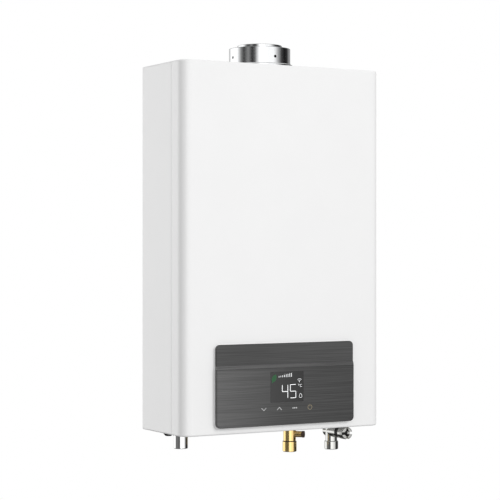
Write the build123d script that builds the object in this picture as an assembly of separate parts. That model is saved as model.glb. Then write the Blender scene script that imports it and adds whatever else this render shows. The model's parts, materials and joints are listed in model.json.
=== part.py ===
from build123d import *
import math
import os

# Room-sealed tankless gas water heater that hangs on a wall.
# Sizes are in millimetres. X runs to the right seen from the front, Y towards the wall, Z up.
# The origin is the centre of the wall bolt pattern, on the face of the wall.

# Casing: a folded rear pan and a pressed front cover that slips over the pan's lip
casing_width = 330.0
casing_height = 525.0
casing_depth = 127.0
wall_gap = 8.0
steel_sheet = 1.0
pan_bend_radius = 2.5
bead_spacing = 190.0
bead_width = 14.0
bead_height = 3.0
bead_from_end = 92.0
bead_rim_radius = 1.4
cover_depth = 33.5
cover_corner_radius = 14.6
cover_edge_radius = 2.6
seam_gap = 0.8
lip_length = 10.0
assembly_gap = 0.3
running_gap = 0.05
cut_margin = 1.0

# Cover seal and cover screws
gasket_width = 8.0
gasket_thickness = 4.0
cover_screw_spacing = 220.0
cover_screw_radius = 2.0
cover_screw_length = 8.0
screw_head_radius = 4.0
screw_crown_radius = 2.8
screw_head_height = 2.2
screw_slot_width = 1.0
screw_slot_depth = 1.0

# Wall brackets: folded plates whose slotted rims stand clear of the casing's ends
bolt_spacing_across = 140.0
bolt_beyond_casing = 6.0
slot_length = 14.0
slot_radius = 3.2
bracket_length = 200.0
bracket_beyond_casing = 12.0
bracket_overlap = 60.0
bracket_flange = 16.0
bracket_sheet = 1.5
bracket_corner_radius = 4.0

# Control panel: a stepped fascia with a window and four touch fields
panel_width = 228.0
panel_height = 117.0
panel_above_base = 9.9
panel_corner_radius = 6.5
panel_edge_radius = 0.8
panel_band_height = 30.3
panel_band_rise = 5.0
panel_bevel_height = 4.5
panel_face_rise = 7.0
panel_wall = 2.2
panel_overlap = 6.0
display_width = 55.0
display_height = 43.5
display_drop = 40.9
lens_flange = 2.5
lens_flange_thickness = 1.0
lens_gap = 0.15
module_margin = 2.0
module_thickness = 2.2
board_thickness = 1.6
board_margin = 3.0
touch_spacing = 25.6
touch_drop = 93.3
touch_count = 4
touch_pad_radius = 3.4
housing_depth = 12.0
housing_wall = 1.5
housing_post_radius = 3.5

# Coaxial flue: an outer collar for air and an inner spigot for exhaust
flue_from_wall = 63.7
collar_radius = 45.0
collar_wall = 1.2
collar_height = 29.3
collar_flange_radius = 48.8
collar_flange_height = 4.2
collar_flange_rounding = 1.4
collar_hole_radius = 1.3
collar_hole_rise = 15.3
flue_gasket_thickness = 1.5
air_opening_radius = 41.5
spigot_bore_radius = 30.3
spigot_neck_step = 1.8
spigot_wall = 1.2
spigot_rise = 34.3
spigot_socket_depth = 28.0
spigot_cone_height = 4.0
spigot_bead = 1.4
spigot_bead_height = 5.0
spigot_bead_edge = 0.5
spigot_foot_radius = 34.0
spigot_foot_thickness = 1.5

# Pipe fittings under the casing
fitting_from_wall = 58.6
hot_from_side = 37.0
cold_from_side = 37.0
gas_offset = 54.5
thread_radius = 10.4775
thread_chamfer = 0.8
water_bore_radius = 7.5
gas_bore_radius = 6.5
hot_drop = 24.7
gas_drop = 40.0
cold_drop = 40.6
plate_hole_gap = 0.4
neck_rise = 15.5
lock_nut_flats = 27.0
lock_nut_height = 5.5
hot_relief_radius = 9.9
hot_relief_height = 1.5
hot_neck_radius = 9.0
gas_neck_radius = 8.4
cold_neck_radius = 8.0
gas_body_radius = 9.4
gas_body_drop = 23.9
gas_groove_height = 1.0
gas_groove_depth = 0.8
test_nipple_radius = 4.6
test_nipple_root = 7.5
test_nipple_reach = 22.5
test_nipple_drop = 14.0
test_nipple_turn = 45.0
test_collar_length = 3.4
test_collar_radius = 4.9
test_hole_depth = 9.0
test_screw_radius = 2.8
test_screw_length = 6.0

# Cold inlet: a quarter-turn valve whose barrel points to the front
barrel_radius = 9.0
barrel_drop = 13.0
barrel_behind = 12.0
barrel_ahead = 22.0
barrel_rounding = 2.0
inlet_stem_radius = 8.9
inlet_socket_height = 12.6
inlet_bore_radius = 6.0
cartridge_radius = 6.0
cartridge_flange_radius = 7.4
cartridge_flange_length = 3.0
valve_port_radius = 3.5
ceramic_thickness = 2.5
spindle_radius = 3.0
seal_radius = 7.6
seal_length = 4.6
knob_radius = 9.2
knob_length = 14.6
knob_gap = 0.3
knob_rounding = 1.4
knob_slot_width = 4.0
knob_slot_depth = 7.5
knob_hub_radius = 4.6
knob_skirt_bore = 2.4

# Mains cable gland
gland_from_side = 29.4
gland_from_wall = 35.0
gland_bore_radius = 3.6
gland_relief_radius = 4.2
gland_relief_drop = 0.5
gland_neck_radius = 6.0
gland_collar_radius = 7.2
gland_drop = 8.7
gland_lip_radius = 8.4
gland_lip_height = 3.0
gland_rounding = 3.0

# Burner and combustion chamber
chamber_from_side = 65.0
chamber_depth = 78.0
chamber_back_gap = 7.0
chamber_wall = 1.2
burner_above_base = 112.5
burner_height = 58.0
burner_wall = 1.0
bar_pitch = 15.0
bar_row_margin = 10.0
bar_thickness = 9.0
bar_height = 46.0
bar_clearance = 3.0
bar_rounding = 2.7
bar_groove_width = 3.0
bar_groove_depth = 4.0
bar_mouth_radius = 3.2
bar_mouth_depth = 18.0
nozzle_rise = 14.0
nozzle_radius = 2.8
nozzle_reach = 5.0
nozzle_orifice_radius = 0.9
air_slot_width = 4.0
manifold_gap = 3.0
manifold_depth = 12.0
manifold_height = 16.0
manifold_overhang = 12.0
manifold_ear = 8.0
rail_end_gap = 12.0
rail_height = 18.0
rail_sheet = 1.5
rail_inset = 22.0

# Ignition and flame-sensing electrodes in the front wall of the chamber
electrode_count = 3
electrode_spacing = 20.0
electrode_rise = 14.0
electrode_plate_height = 22.0
electrode_plate_margin = 14.0
electrode_plate_thickness = 1.5
ceramic_rod_radius = 3.2
ceramic_collar_radius = 4.8
ceramic_collar_length = 3.0
ceramic_outside = 14.0
ceramic_inside = 9.0
pin_radius = 0.9
pin_outside = 6.0
pin_inside = 24.0

# Heat exchanger
tube_radius = 7.0
tube_wall = 0.9
tube_pitch = 22.0
tube_count = 3
tube_below_top = 30.0
tube_overhang = 8.0
tube_gap = 0.15
fin_count = 15
fin_thickness = 0.8
fin_margin = 16.0
fin_edge_gap = 1.0
fin_below_tube = 4.0
fin_above_tube = 22.0
cap_margin = 2.0
cap_length = 10.0
cap_rounding = 3.0
thermostat_radius = 8.5
thermostat_length = 8.0
thermostat_tab_reach = 5.6
thermostat_tab_thickness = 1.4

# Exhaust hood, fan and motor
outlet_below_top = 48.5
hood_height = 30.0
hood_wall = 1.0
duct_width = 80.0
duct_head = 44.0
fan_width = 46.0
fan_wall = 1.2
fan_lift = 2.0
scroll_radius = 46.0
scroll_growth = 4.0
outlet_rise = 14.0
outlet_flange = 10.0
outlet_flange_thickness = 2.0
inlet_eye_radius = 30.0
impeller_radius = 40.0
impeller_margin = 4.0
impeller_disc = 1.6
impeller_ring = 7.0
blade_count = 24
blade_thickness = 1.2
blade_length = 9.0
blade_turn = 28.0
hub_radius = 8.0
hub_length = 18.0
shaft_radius = 3.0
shaft_length = 24.0
shaft_hole_radius = 6.0
motor_radius = 28.0
motor_length = 26.0
motor_cap_radius = 19.0
motor_cap_length = 6.0
motor_flange_radius = 36.0
motor_flange_thickness = 2.0

# Water flow sensor, pipes and clip-on thermistors
sensor_radius = 14.0
sensor_length = 44.0
sensor_bore_radius = 9.5
sensor_cap_radius = 11.5
sensor_cap_length = 7.0
sensor_bar_width = 4.0
sensor_bar_height = 3.0
sensor_pickup_width = 12.0
sensor_pickup_depth = 7.0
sensor_pickup_height = 18.0
rotor_hub_radius = 3.2
rotor_radius = 8.6
rotor_length = 14.0
rotor_blade_thickness = 1.0
rotor_blade_turn = 35.0
rotor_blade_count = 4
rotor_blade_height = 8.4
rotor_blade_root = 1.0
pivot_radius = 1.2
pivot_length = 2.4
pipe_radius = 7.0
pipe_wall = 1.0
pipe_jog_low = 100.0
pipe_jog_high = 140.0
pipe_jog_bend = 30.0
pipe_top_bend = 14.0
nut_across_flats = 24.0
nut_height = 9.0
thermistor_width = 12.0
thermistor_reach = 8.0
thermistor_height = 16.0
thermistor_rise = 84.0

# Gas valve with two coils
valve_width = 54.0
valve_height = 36.0
valve_behind = 18.0
valve_ahead = 10.0
valve_rounding = 5.0
coil_radius = 12.0
coil_height = 32.0
coil_behind = 2.5
coil_pitch = 26.0
coil_wall_top = 4.0
cavity_radius = 9.0
cavity_depth = 11.0
valve_seat_radius = 3.8
valve_channel_radius = 3.0
plunger_radius = 5.0
plunger_length = 24.0
plunger_gap = 0.1
plunger_disc_radius = 7.5
plunger_disc_thickness = 3.0
plunger_seat_gap = 0.2
riser_radius = 8.0
riser_wall = 1.5

# Electronics on the back of the pan
controller_from_side = 11.0
controller_width = 84.0
controller_height = 126.0
controller_depth = 36.0
controller_below_top = 92.0
controller_wall = 2.0
controller_post_radius = 4.0
controller_post_height = 8.0
controller_board_gap = 1.5
heat_sink_height = 40.0
heat_sink_depth = 18.0
heat_sink_fins = 6
heat_sink_fin = 1.6
connector_strip_height = 12.0
connector_strip_depth = 9.0
igniter_from_side = 7.0
igniter_width = 39.0
igniter_depth = 34.0
igniter_height = 56.0
igniter_above_base = 210.0
igniter_rounding = 3.0
igniter_terminal_radius = 4.0
igniter_terminal_length = 8.0
igniter_terminal_spacing = 18.0
switch_from_side = 35.0
switch_below_top = 62.0
switch_radius = 22.0
switch_depth = 14.0
switch_boss_radius = 12.0
switch_boss_depth = 12.0
switch_tap_radius = 3.0
switch_tap_length = 8.0

# Planes and axes worked out from the sizes above
half_width = casing_width / 2
top = casing_height / 2
bottom = -casing_height / 2
back = -wall_gap
front = back - casing_depth
inner_back = back - steel_sheet
inner_top = top - steel_sheet
inner_bottom = bottom + steel_sheet
inner_front = front + steel_sheet
seam = front + cover_depth
pan_edge = seam + seam_gap
lip_outside = steel_sheet + assembly_gap
lip_inside = lip_outside + steel_sheet
flue_y = -flue_from_wall
fitting_y = -fitting_from_wall
hot_x = -half_width + hot_from_side
cold_x = half_width - cold_from_side
gas_x = gas_offset
gland_x = -half_width + gland_from_side
gland_y = -gland_from_wall
neck_top = inner_bottom + neck_rise
chamber_back = inner_back - chamber_back_gap
chamber_front = chamber_back - chamber_depth
chamber_y = (chamber_front + chamber_back) / 2
chamber_x = half_width - chamber_from_side
burner_floor = bottom + burner_above_base
chamber_floor = burner_floor + burner_height
outlet_top = top - outlet_below_top
outlet_z = outlet_top - outlet_flange_thickness
scroll_z = outlet_z - outlet_rise - scroll_radius
hood_top = scroll_z - scroll_radius - scroll_growth - fan_lift
chamber_top = hood_top - hood_height
tube_z = chamber_top - tube_below_top
tube_end = chamber_x + tube_overhang
manifold_back = chamber_front - manifold_gap
manifold_front = manifold_back - manifold_depth
manifold_y = (manifold_front + manifold_back) / 2
nozzle_z = burner_floor + burner_wall + nozzle_rise
manifold_bottom = nozzle_z - manifold_height / 2
duct_front = flue_y + fan_width / 2
fan_front = duct_front - fan_width
scroll_x = -(scroll_radius + 3 * scroll_growth) / 2
fan_x = scroll_x + scroll_growth / 2
fan_z = scroll_z + scroll_growth / 2
neck_bore = spigot_bore_radius - spigot_neck_step
panel_bottom = bottom + panel_above_base
panel_top = panel_bottom + panel_height
bevel_high = panel_top - panel_band_height
bevel_low = bevel_high - panel_bevel_height
panel_face = front - panel_face_rise
panel_band = front - panel_band_rise
face_inside = panel_face + panel_wall
band_inside = panel_band + panel_wall
display_z = panel_top - display_drop - display_height / 2
touch_z = panel_top - touch_drop
barrel_z = bottom - barrel_drop
barrel_front = fitting_y - barrel_ahead
knob_back = barrel_front - cartridge_flange_length - seal_length - knob_gap
knob_front = knob_back - knob_length
valve_floor = neck_top
valve_top = valve_floor + valve_height
cover_screw_y = pan_edge - lip_length / 2
bar_count = int((2 * chamber_x - 2 * bar_row_margin) / bar_pitch)
controller_x = half_width - controller_from_side - controller_width / 2
igniter_x = -half_width + igniter_from_side + igniter_width / 2
switch_x = -half_width + switch_from_side

vertical = (Align.CENTER, Align.CENTER, Align.MIN)


def block(x0, x1, y0, y1, z0, z1):
    """Box between two opposite corners."""
    size = Box(abs(x1 - x0), abs(y1 - y0), abs(z1 - z0))
    return Pos((x0 + x1) / 2, (y0 + y1) / 2, (z0 + z1) / 2) * size


def upright(radius, x, y, z0, z1):
    """Round bar along Z between two heights."""
    return Pos(x, y, z0) * Cylinder(radius, z1 - z0, align=vertical)


def along_y(radius, x, z, y0, y1):
    """Round bar along Y between two depths."""
    return Pos(x, y0, z) * Rot(-90, 0, 0) * Cylinder(radius, y1 - y0, align=vertical)


def along_x(radius, y, z, x0, x1):
    """Round bar along X between two sides."""
    return Pos(x0, y, z) * Rot(0, 90, 0) * Cylinder(radius, x1 - x0, align=vertical)


def outline_xz(points):
    """Face on the plane of X and Z from (x or radius, z) points."""
    return make_face(Polyline([(a, 0, b) for a, b in points], close=True))


def turned(points, x, y):
    """Solid turned about an upright axis from (radius, height) points."""
    return Pos(x, y, 0) * revolve(outline_xz(points), Axis.Z)


def turned_along_y(points, x, z):
    """Solid turned about a Y axis from (radius, depth) points."""
    return Pos(x, 0, z) * Rot(-90, 0, 0) * revolve(outline_xz(points), Axis.Z)


def profile_yz(points, x0, x1):
    """Prism along X from (y, z) points."""
    face = make_face(Polyline([(x0, y, z) for y, z in points], close=True))
    return extrude(face, amount=x1 - x0, dir=(1, 0, 0))


def casing_plate(y0, y1, inset):
    """Plate of the casing's outline with its rolled corners, set in from it."""
    plate = block(-half_width + inset, half_width - inset, y0, y1, bottom + inset, top - inset)
    if inset < cover_edge_radius:
        plate = fillet(plate.edges().filter_by(Axis.Y), cover_edge_radius - inset)
    return plate


def frame(y0, y1, inset, wall):
    """Ring that follows the casing's outline, set in from it."""
    return casing_plate(y0, y1, inset) - casing_plate(y0, y1, inset + wall)


def row(count, pitch):
    """Centred positions of a row."""
    return [(i - (count - 1) / 2) * pitch for i in range(count)]


def rounded_plate(width, height, radius, y0, y1, z):
    """Plate square to Y with rounded corners."""
    face = Plane((0, y1, z), x_dir=(1, 0, 0), z_dir=(0, -1, 0)) * RectangleRounded(width, height, radius)
    return extrude(face, amount=y1 - y0)


# Casing

def fitting_holes():
    """Places and radii of the holes in the bottom plate."""
    return [
        (hot_x, fitting_y, hot_neck_radius + plate_hole_gap),
        (gas_x, fitting_y, gas_neck_radius + plate_hole_gap),
        (cold_x, fitting_y, cold_neck_radius + plate_hole_gap),
        (gland_x, gland_y, gland_neck_radius + assembly_gap),
    ]


def cover_screw_places():
    """Side and end of each cover screw: x, and 1 for the top or -1 for the bottom."""
    return [(x, end) for x in row(2, cover_screw_spacing) for end in (1, -1)]


def cover_screw_bores():
    """Clearance holes for the cover screws through the flange and the lip."""
    reach = lip_inside + assembly_gap
    bores = []
    for x, end in cover_screw_places():
        z0, z1 = sorted((end * top, end * (top - reach)))
        bores.append(upright(cover_screw_radius + assembly_gap, x, cover_screw_y, z0, z1))
    return bores


def back_bead(x, inset):
    """Upright stiffening bead that is pressed out of the back plate."""
    length = casing_height - 2 * bead_from_end - 2 * inset
    plane = Plane((x, inner_back - inset, 0), x_dir=(0, 0, 1), z_dir=(0, 1, 0))
    face = plane * SlotOverall(length, bead_width - 2 * inset)
    bead = extrude(face, amount=steel_sheet + bead_height)
    return fillet(bead.edges().group_by(Axis.Y)[-1], bead_rim_radius)


def rear_pan():
    """Folded pan: back with two pressed beads, sides, top, bottom, and a joggled lip for the cover."""
    outer = casing_plate(pan_edge, back, 0)
    outer = fillet(outer.edges().group_by(Axis.Y)[-1], pan_bend_radius)
    inner = casing_plate(pan_edge - lip_length, inner_back, steel_sheet)
    inner = fillet(inner.edges().group_by(Axis.Y)[-1], pan_bend_radius - steel_sheet)
    pan = outer - inner
    for x in (-bead_spacing / 2, bead_spacing / 2):
        pan += back_bead(x, 0)
        pan -= back_bead(x, steel_sheet)
    pan += frame(pan_edge, pan_edge + steel_sheet, 0, lip_inside)
    pan += frame(pan_edge - lip_length, pan_edge + steel_sheet, lip_outside, steel_sheet)
    pan -= upright(air_opening_radius, 0, flue_y, inner_top, top)
    for x, y, radius in fitting_holes():
        pan -= upright(radius, x, y, bottom, inner_bottom)
    for bore in cover_screw_bores():
        pan -= bore
    return pan


def cover_plan(inset, y1):
    """Plan of the cover, rounded at its two front corners."""
    y0 = front + inset
    plan = Pos(0, (y0 + y1) / 2) * Rectangle(casing_width - 2 * inset, y1 - y0)
    corners = plan.vertices().sort_by(Axis.Y)[:2]
    return fillet(corners, cover_corner_radius - inset)


def rolled_ends(shell, radius):
    """Round the front and side edges of both ends of an upright prism."""
    rims = []
    for end in (0, -1):
        rim = shell.faces().sort_by(Axis.Z)[end].edges()
        rims += rim.sort_by(Axis.Y)[:-1]
    return fillet(rims, radius)


def front_cover():
    """Pressed cover with rolled edges and the opening behind the control panel."""
    outer = extrude(Pos(0, 0, bottom) * cover_plan(0, seam), amount=casing_height)
    outer = rolled_ends(outer, cover_edge_radius)
    hollow = cover_plan(steel_sheet, seam + steel_sheet)
    inner = extrude(Pos(0, 0, inner_bottom) * hollow, amount=casing_height - 2 * steel_sheet)
    inner = rolled_ends(inner, cover_edge_radius - steel_sheet)
    cover = outer - inner
    half_x = panel_width / 2 - panel_overlap
    low = panel_bottom + panel_overlap
    high = panel_top - panel_overlap
    cover -= block(-half_x, half_x, front - cut_margin, inner_front + cut_margin, low, high)
    for bore in cover_screw_bores():
        cover -= bore
    return cover


def cover_gasket():
    """Foam strip between the lip of the pan and the inside of the cover."""
    edge = pan_edge - lip_length
    return frame(edge - gasket_thickness, edge, steel_sheet, gasket_width)


def cover_screw(x, end):
    """Pan-head screw, driven into the lip from above or below."""
    points = [
        (0, -cover_screw_length),
        (cover_screw_radius, -cover_screw_length),
        (cover_screw_radius, 0),
        (screw_head_radius, 0),
        (screw_crown_radius, screw_head_height),
        (0, screw_head_height),
    ]
    screw = turned(points, 0, 0)
    slot_top = screw_head_height - screw_slot_depth
    half = screw_slot_width / 2
    screw -= block(-screw_head_radius, screw_head_radius, -half, half, slot_top, screw_head_height)
    turn = 0 if end > 0 else 180
    return Pos(x, cover_screw_y, end * top) * Rot(turn, 0, 0) * screw


def cover_screws():
    """The four screws that hold the cover."""
    return Compound(children=[cover_screw(x, end) for x, end in cover_screw_places()])


def wall_bracket(end):
    """Folded bracket at the top (1) or the bottom (-1), with two level slots beyond the casing."""
    rim = top + bracket_beyond_casing
    web = top - bracket_overlap
    leg = back + bracket_sheet
    points = [
        (back, web - bracket_flange),
        (leg, web - bracket_flange),
        (leg, web - bracket_sheet),
        (0, web - bracket_sheet),
        (0, rim),
        (-bracket_sheet, rim),
        (-bracket_sheet, web),
        (back, web),
    ]
    bracket = profile_yz([(y, end * z) for y, z in points], -bracket_length / 2, bracket_length / 2)
    corners = [e for e in bracket.edges().filter_by(Axis.Y) if abs(e.center().Z) > top]
    bracket = fillet(corners, bracket_corner_radius)
    z = end * (top + bolt_beyond_casing)
    for x in row(2, bolt_spacing_across):
        plane = Plane((x, 0, z), x_dir=(1, 0, 0), z_dir=(0, -1, 0))
        bracket -= extrude(plane * SlotOverall(slot_length, 2 * slot_radius), amount=bracket_sheet)
    return bracket


def upper_wall_bracket():
    """Bracket that carries the weight on the upper bolts."""
    return wall_bracket(1)


def lower_wall_bracket():
    """Bracket that steadies the foot of the casing."""
    return wall_bracket(-1)


# Control panel

def panel_form(inset):
    """Stepped body of the fascia, set in from its outer faces and open towards the cover."""
    low = panel_bottom + inset
    high = panel_top - inset
    face = panel_face + inset
    band = panel_band + inset
    points = [
        (front, low),
        (face, low),
        (face, bevel_low - inset / 2),
        (band, bevel_high - inset / 2),
        (band, high),
        (front, high),
    ]
    half_x = panel_width / 2 - inset
    form = profile_yz(points, -half_x, half_x)
    middle = (panel_bottom + panel_top) / 2
    radius = panel_corner_radius - inset
    width = panel_width - 2 * inset
    height = panel_height - 2 * inset
    return form & rounded_plate(width, height, radius, face - cut_margin, front, middle)


def control_panel():
    """Hollow fascia with the bevel between its upper band and lower face, and the window."""
    body = panel_form(0)
    band = body.faces().filter_by(Axis.Y).filter_by(lambda f: abs(f.center().Y - panel_band) < running_gap)
    face = body.faces().filter_by(Axis.Y).filter_by(lambda f: abs(f.center().Y - panel_face) < running_gap)
    rims = band.edges().sort_by(Axis.Z)[1:]
    rims += face.edges().sort_by(Axis.Z)[:-1]
    body = fillet(rims, panel_edge_radius)
    body -= panel_form(panel_wall)
    half_x = display_width / 2
    low = display_z - display_height / 2
    high = display_z + display_height / 2
    return body - block(-half_x, half_x, panel_face - cut_margin, face_inside + cut_margin, low, high)


def display_lens():
    """Smoked window, flush with the face and held by a flange behind it."""
    half_x = display_width / 2 - lens_gap
    half_z = display_height / 2 - lens_gap
    plug = block(-half_x, half_x, panel_face, face_inside, display_z - half_z, display_z + half_z)
    flange_x = display_width / 2 + lens_flange
    flange_z = display_height / 2 + lens_flange
    rear = face_inside + lens_flange_thickness
    return plug + block(-flange_x, flange_x, face_inside, rear, display_z - flange_z, display_z + flange_z)


def module_back():
    """Depth of the back of the display module, where the board begins."""
    return face_inside + lens_flange_thickness + module_thickness


def display_module():
    """Display panel behind the lens."""
    half_x = display_width / 2 + module_margin
    half_z = display_height / 2 + module_margin
    y0 = face_inside + lens_flange_thickness
    return block(-half_x, half_x, y0, module_back(), display_z - half_z, display_z + half_z)


def housing_half():
    """Half width of the housing behind the panel, and its lower and upper ends."""
    inset = panel_overlap + assembly_gap
    return panel_width / 2 - inset, panel_bottom + inset, panel_top - inset


def display_housing():
    """Open tray that passes through the cover and carries the display board."""
    half_x, low, high = housing_half()
    rear = front + housing_depth
    tray = block(-half_x, half_x, band_inside, rear, low, high)
    inner_x = half_x - housing_wall
    inner_low = low + housing_wall
    inner_high = high - housing_wall
    tray -= block(-inner_x, inner_x, band_inside - cut_margin, rear - housing_wall, inner_low, inner_high)
    board_back = module_back() + board_thickness
    post_x = inner_x - board_margin - housing_post_radius
    post_z = (inner_high - inner_low) / 2 - board_margin - housing_post_radius
    middle = (inner_low + inner_high) / 2
    for x in (-post_x, post_x):
        for z in (middle - post_z, middle + post_z):
            tray += along_y(housing_post_radius, x, z, board_back, rear - housing_wall)
    return tray


def display_board():
    """Circuit board that lies on the posts of the housing."""
    half_x, low, high = housing_half()
    inset = housing_wall + board_margin
    y0 = module_back()
    return block(-half_x + inset, half_x - inset, y0, y0 + board_thickness, low + inset, high - inset)


def touch_pads():
    """Sprung contacts between the board and the touch fields of the fascia."""
    pads = []
    for x in row(touch_count, touch_spacing):
        pads.append(along_y(touch_pad_radius, x, touch_z, face_inside, module_back()))
    return Compound(children=pads)


# Coaxial flue

def flue_collar():
    """Outer tube on a rounded base flange, with four holes for the pipe screws."""
    base = top + flue_gasket_thickness
    bore = collar_radius - collar_wall
    points = [
        (bore, base),
        (collar_flange_radius, base),
        (collar_flange_radius, base + collar_flange_height),
        (collar_radius, base + collar_flange_height),
        (collar_radius, top + collar_height),
        (bore, top + collar_height),
    ]
    collar = turned(points, 0, flue_y)
    shoulder = [e for e in collar.edges().filter_by(GeomType.CIRCLE)
                if abs(e.radius - collar_flange_radius) < 0.01
                and e.center().Z > base + collar_flange_height / 2]
    collar = fillet(shoulder, collar_flange_rounding)
    hole_z = top + collar_hole_rise
    collar -= along_y(collar_hole_radius, 0, hole_z, flue_y - collar_radius, flue_y + collar_radius)
    collar -= along_x(collar_hole_radius, flue_y, hole_z, -collar_radius, collar_radius)
    return collar


def flue_gasket():
    """Flat ring under the collar."""
    ring = upright(collar_flange_radius, 0, flue_y, top, top + flue_gasket_thickness)
    return ring - upright(air_opening_radius, 0, flue_y, top, top + flue_gasket_thickness)


def exhaust_spigot():
    """Inner tube: a footed neck on the fan outlet, a cone and a socket with a rolled bead."""
    rim = top + spigot_rise
    shoulder = rim - spigot_socket_depth
    neck = neck_bore + spigot_wall
    socket = spigot_bore_radius + spigot_wall
    bead = socket + spigot_bead
    cone = shoulder - spigot_cone_height
    foot_top = outlet_top + spigot_foot_thickness
    points = [
        (neck_bore, outlet_top),
        (spigot_foot_radius, outlet_top),
        (spigot_foot_radius, foot_top),
        (neck, foot_top),
        (neck, cone),
        (socket, shoulder),
        (socket, rim - spigot_bead_height),
        (bead, rim - spigot_bead_height + spigot_bead),
        (bead, rim - spigot_bead_edge),
        (bead - spigot_bead_edge, rim),
        (spigot_bore_radius, rim),
        (spigot_bore_radius, shoulder),
        (neck_bore, cone),
    ]
    return turned(points, 0, flue_y)


# Pipe fittings

def neck_points(bore, neck):
    """Upper end of a fitting: a shoulder under the bottom plate and a neck that rises through it."""
    return [
        (neck, bottom),
        (neck, neck_top),
        (bore, neck_top),
    ]


def threaded_end(bore, drop):
    """Lower end of a fitting with a chamfered male thread."""
    return [
        (bore, bottom - drop),
        (thread_radius - thread_chamfer, bottom - drop),
        (thread_radius, bottom - drop + thread_chamfer),
    ]


def hot_outlet_nipple():
    """Plain nipple for the hot water pipe."""
    points = threaded_end(water_bore_radius, hot_drop)
    points += [
        (thread_radius, bottom - hot_relief_height),
        (hot_relief_radius, bottom - hot_relief_height),
        (hot_relief_radius, bottom),
    ]
    points += neck_points(water_bore_radius, hot_neck_radius)
    return turned(points, hot_x, fitting_y)


def test_place():
    """Frame of the gas test nipple: X along its axis, from the axis of the fitting."""
    return Pos(gas_x, fitting_y, bottom - test_nipple_drop) * Rot(0, 0, -test_nipple_turn)


def gas_inlet_fitting():
    """Brass gas connection: threaded end, ring groove, body and side test nipple."""
    step = bottom - gas_body_drop
    groove = gas_body_radius - gas_groove_depth
    points = threaded_end(gas_bore_radius, gas_drop)
    points += [
        (thread_radius, step - gas_groove_height),
        (groove, step - gas_groove_height),
        (groove, step),
        (gas_body_radius, step),
        (gas_body_radius, bottom),
    ]
    points += neck_points(gas_bore_radius, gas_neck_radius)
    fitting = turned(points, gas_x, fitting_y)
    nipple = along_x(test_nipple_radius, 0, 0, test_nipple_root, test_nipple_reach)
    nipple += along_x(test_collar_radius, 0, 0, test_nipple_reach - test_collar_length, test_nipple_reach)
    nipple -= along_x(test_screw_radius + assembly_gap, 0, 0, test_nipple_reach - test_hole_depth,
                      test_nipple_reach)
    return fitting + test_place() * nipple


def gas_test_screw():
    """Slotted screw that closes the test nipple."""
    inner = test_nipple_reach - test_hole_depth
    screw = along_x(test_screw_radius, 0, 0, inner, inner + test_screw_length)
    half = screw_slot_width / 2
    tip = inner + test_screw_length
    screw -= block(tip - screw_slot_depth, tip, -half, half, -test_screw_radius, test_screw_radius)
    return test_place() * screw


def inlet_valve_body():
    """Cold inlet: threaded socket, stem, cross barrel and the neck inside the casing."""
    socket_top = bottom - cold_drop + inlet_socket_height
    points = threaded_end(inlet_bore_radius, cold_drop)
    points += [
        (thread_radius, socket_top - thread_chamfer),
        (thread_radius - thread_chamfer, socket_top),
        (inlet_stem_radius, socket_top),
        (inlet_stem_radius, bottom),
    ]
    points += neck_points(inlet_bore_radius, cold_neck_radius)
    stem = turned(points, cold_x, fitting_y)
    barrel = along_y(barrel_radius, cold_x, barrel_z, barrel_front, fitting_y + barrel_behind)
    barrel = fillet(barrel.edges().sort_by(Axis.Y)[-1], barrel_rounding)
    body = stem + barrel
    body -= upright(inlet_bore_radius, cold_x, fitting_y, bottom - cold_drop, neck_top)
    body -= along_y(cartridge_radius + running_gap, cold_x, barrel_z, barrel_front, cartridge_end())
    body -= along_y(valve_port_radius, cold_x, barrel_z, cartridge_end(), fitting_y)
    return body


def cartridge_end():
    """Depth where the cartridge and its ceramic disc stop inside the barrel."""
    return fitting_y - inlet_bore_radius - ceramic_thickness


def inlet_cartridge():
    """Bush that carries the spindle, flanged on the front of the barrel."""
    inner = cartridge_end() - ceramic_thickness - 2 * running_gap
    points = [
        (spindle_radius + running_gap, barrel_front - cartridge_flange_length),
        (cartridge_flange_radius, barrel_front - cartridge_flange_length),
        (cartridge_flange_radius, barrel_front),
        (cartridge_radius, barrel_front),
        (cartridge_radius, inner),
        (spindle_radius + running_gap, inner),
    ]
    return turned_along_y(points, cold_x, barrel_z)


def inlet_disc():
    """Ceramic disc that opens and closes the valve port."""
    back_face = cartridge_end() - running_gap
    front_face = back_face - ceramic_thickness
    disc = along_y(cartridge_radius - running_gap, cold_x, barrel_z, front_face, back_face)
    port = block(cold_x - valve_port_radius, cold_x, front_face, back_face,
                 barrel_z, barrel_z + valve_port_radius)
    return disc - port


def inlet_spindle():
    """Spindle from the knob to the ceramic disc."""
    disc_face = cartridge_end() - running_gap - ceramic_thickness
    return along_y(spindle_radius, cold_x, barrel_z, knob_back - knob_skirt_bore, disc_face)


def knob_seal():
    """Rubber ring between the cartridge flange and the knob."""
    seal_back = barrel_front - cartridge_flange_length
    seal_front = seal_back - seal_length
    ring = along_y(seal_radius, cold_x, barrel_z, seal_front, seal_back)
    return ring - along_y(spindle_radius + assembly_gap, cold_x, barrel_z, seal_front, seal_back)


def inlet_knob():
    """Round knob with a cross recess in its end."""
    knob = along_y(knob_radius, cold_x, barrel_z, knob_front, knob_back)
    knob = fillet(knob.edges().filter_by(GeomType.CIRCLE), knob_rounding)
    half = knob_slot_width / 2
    floor = knob_front + knob_slot_depth
    reach = knob_radius
    knob -= block(cold_x - reach, cold_x + reach, knob_front, floor, barrel_z - half, barrel_z + half)
    knob -= block(cold_x - half, cold_x + half, knob_front, floor, barrel_z - reach, barrel_z + reach)
    knob -= along_y(knob_hub_radius, cold_x, barrel_z, knob_front, floor)
    return knob - along_y(spindle_radius, cold_x, barrel_z, knob_back - knob_skirt_bore, knob_back)


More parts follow.
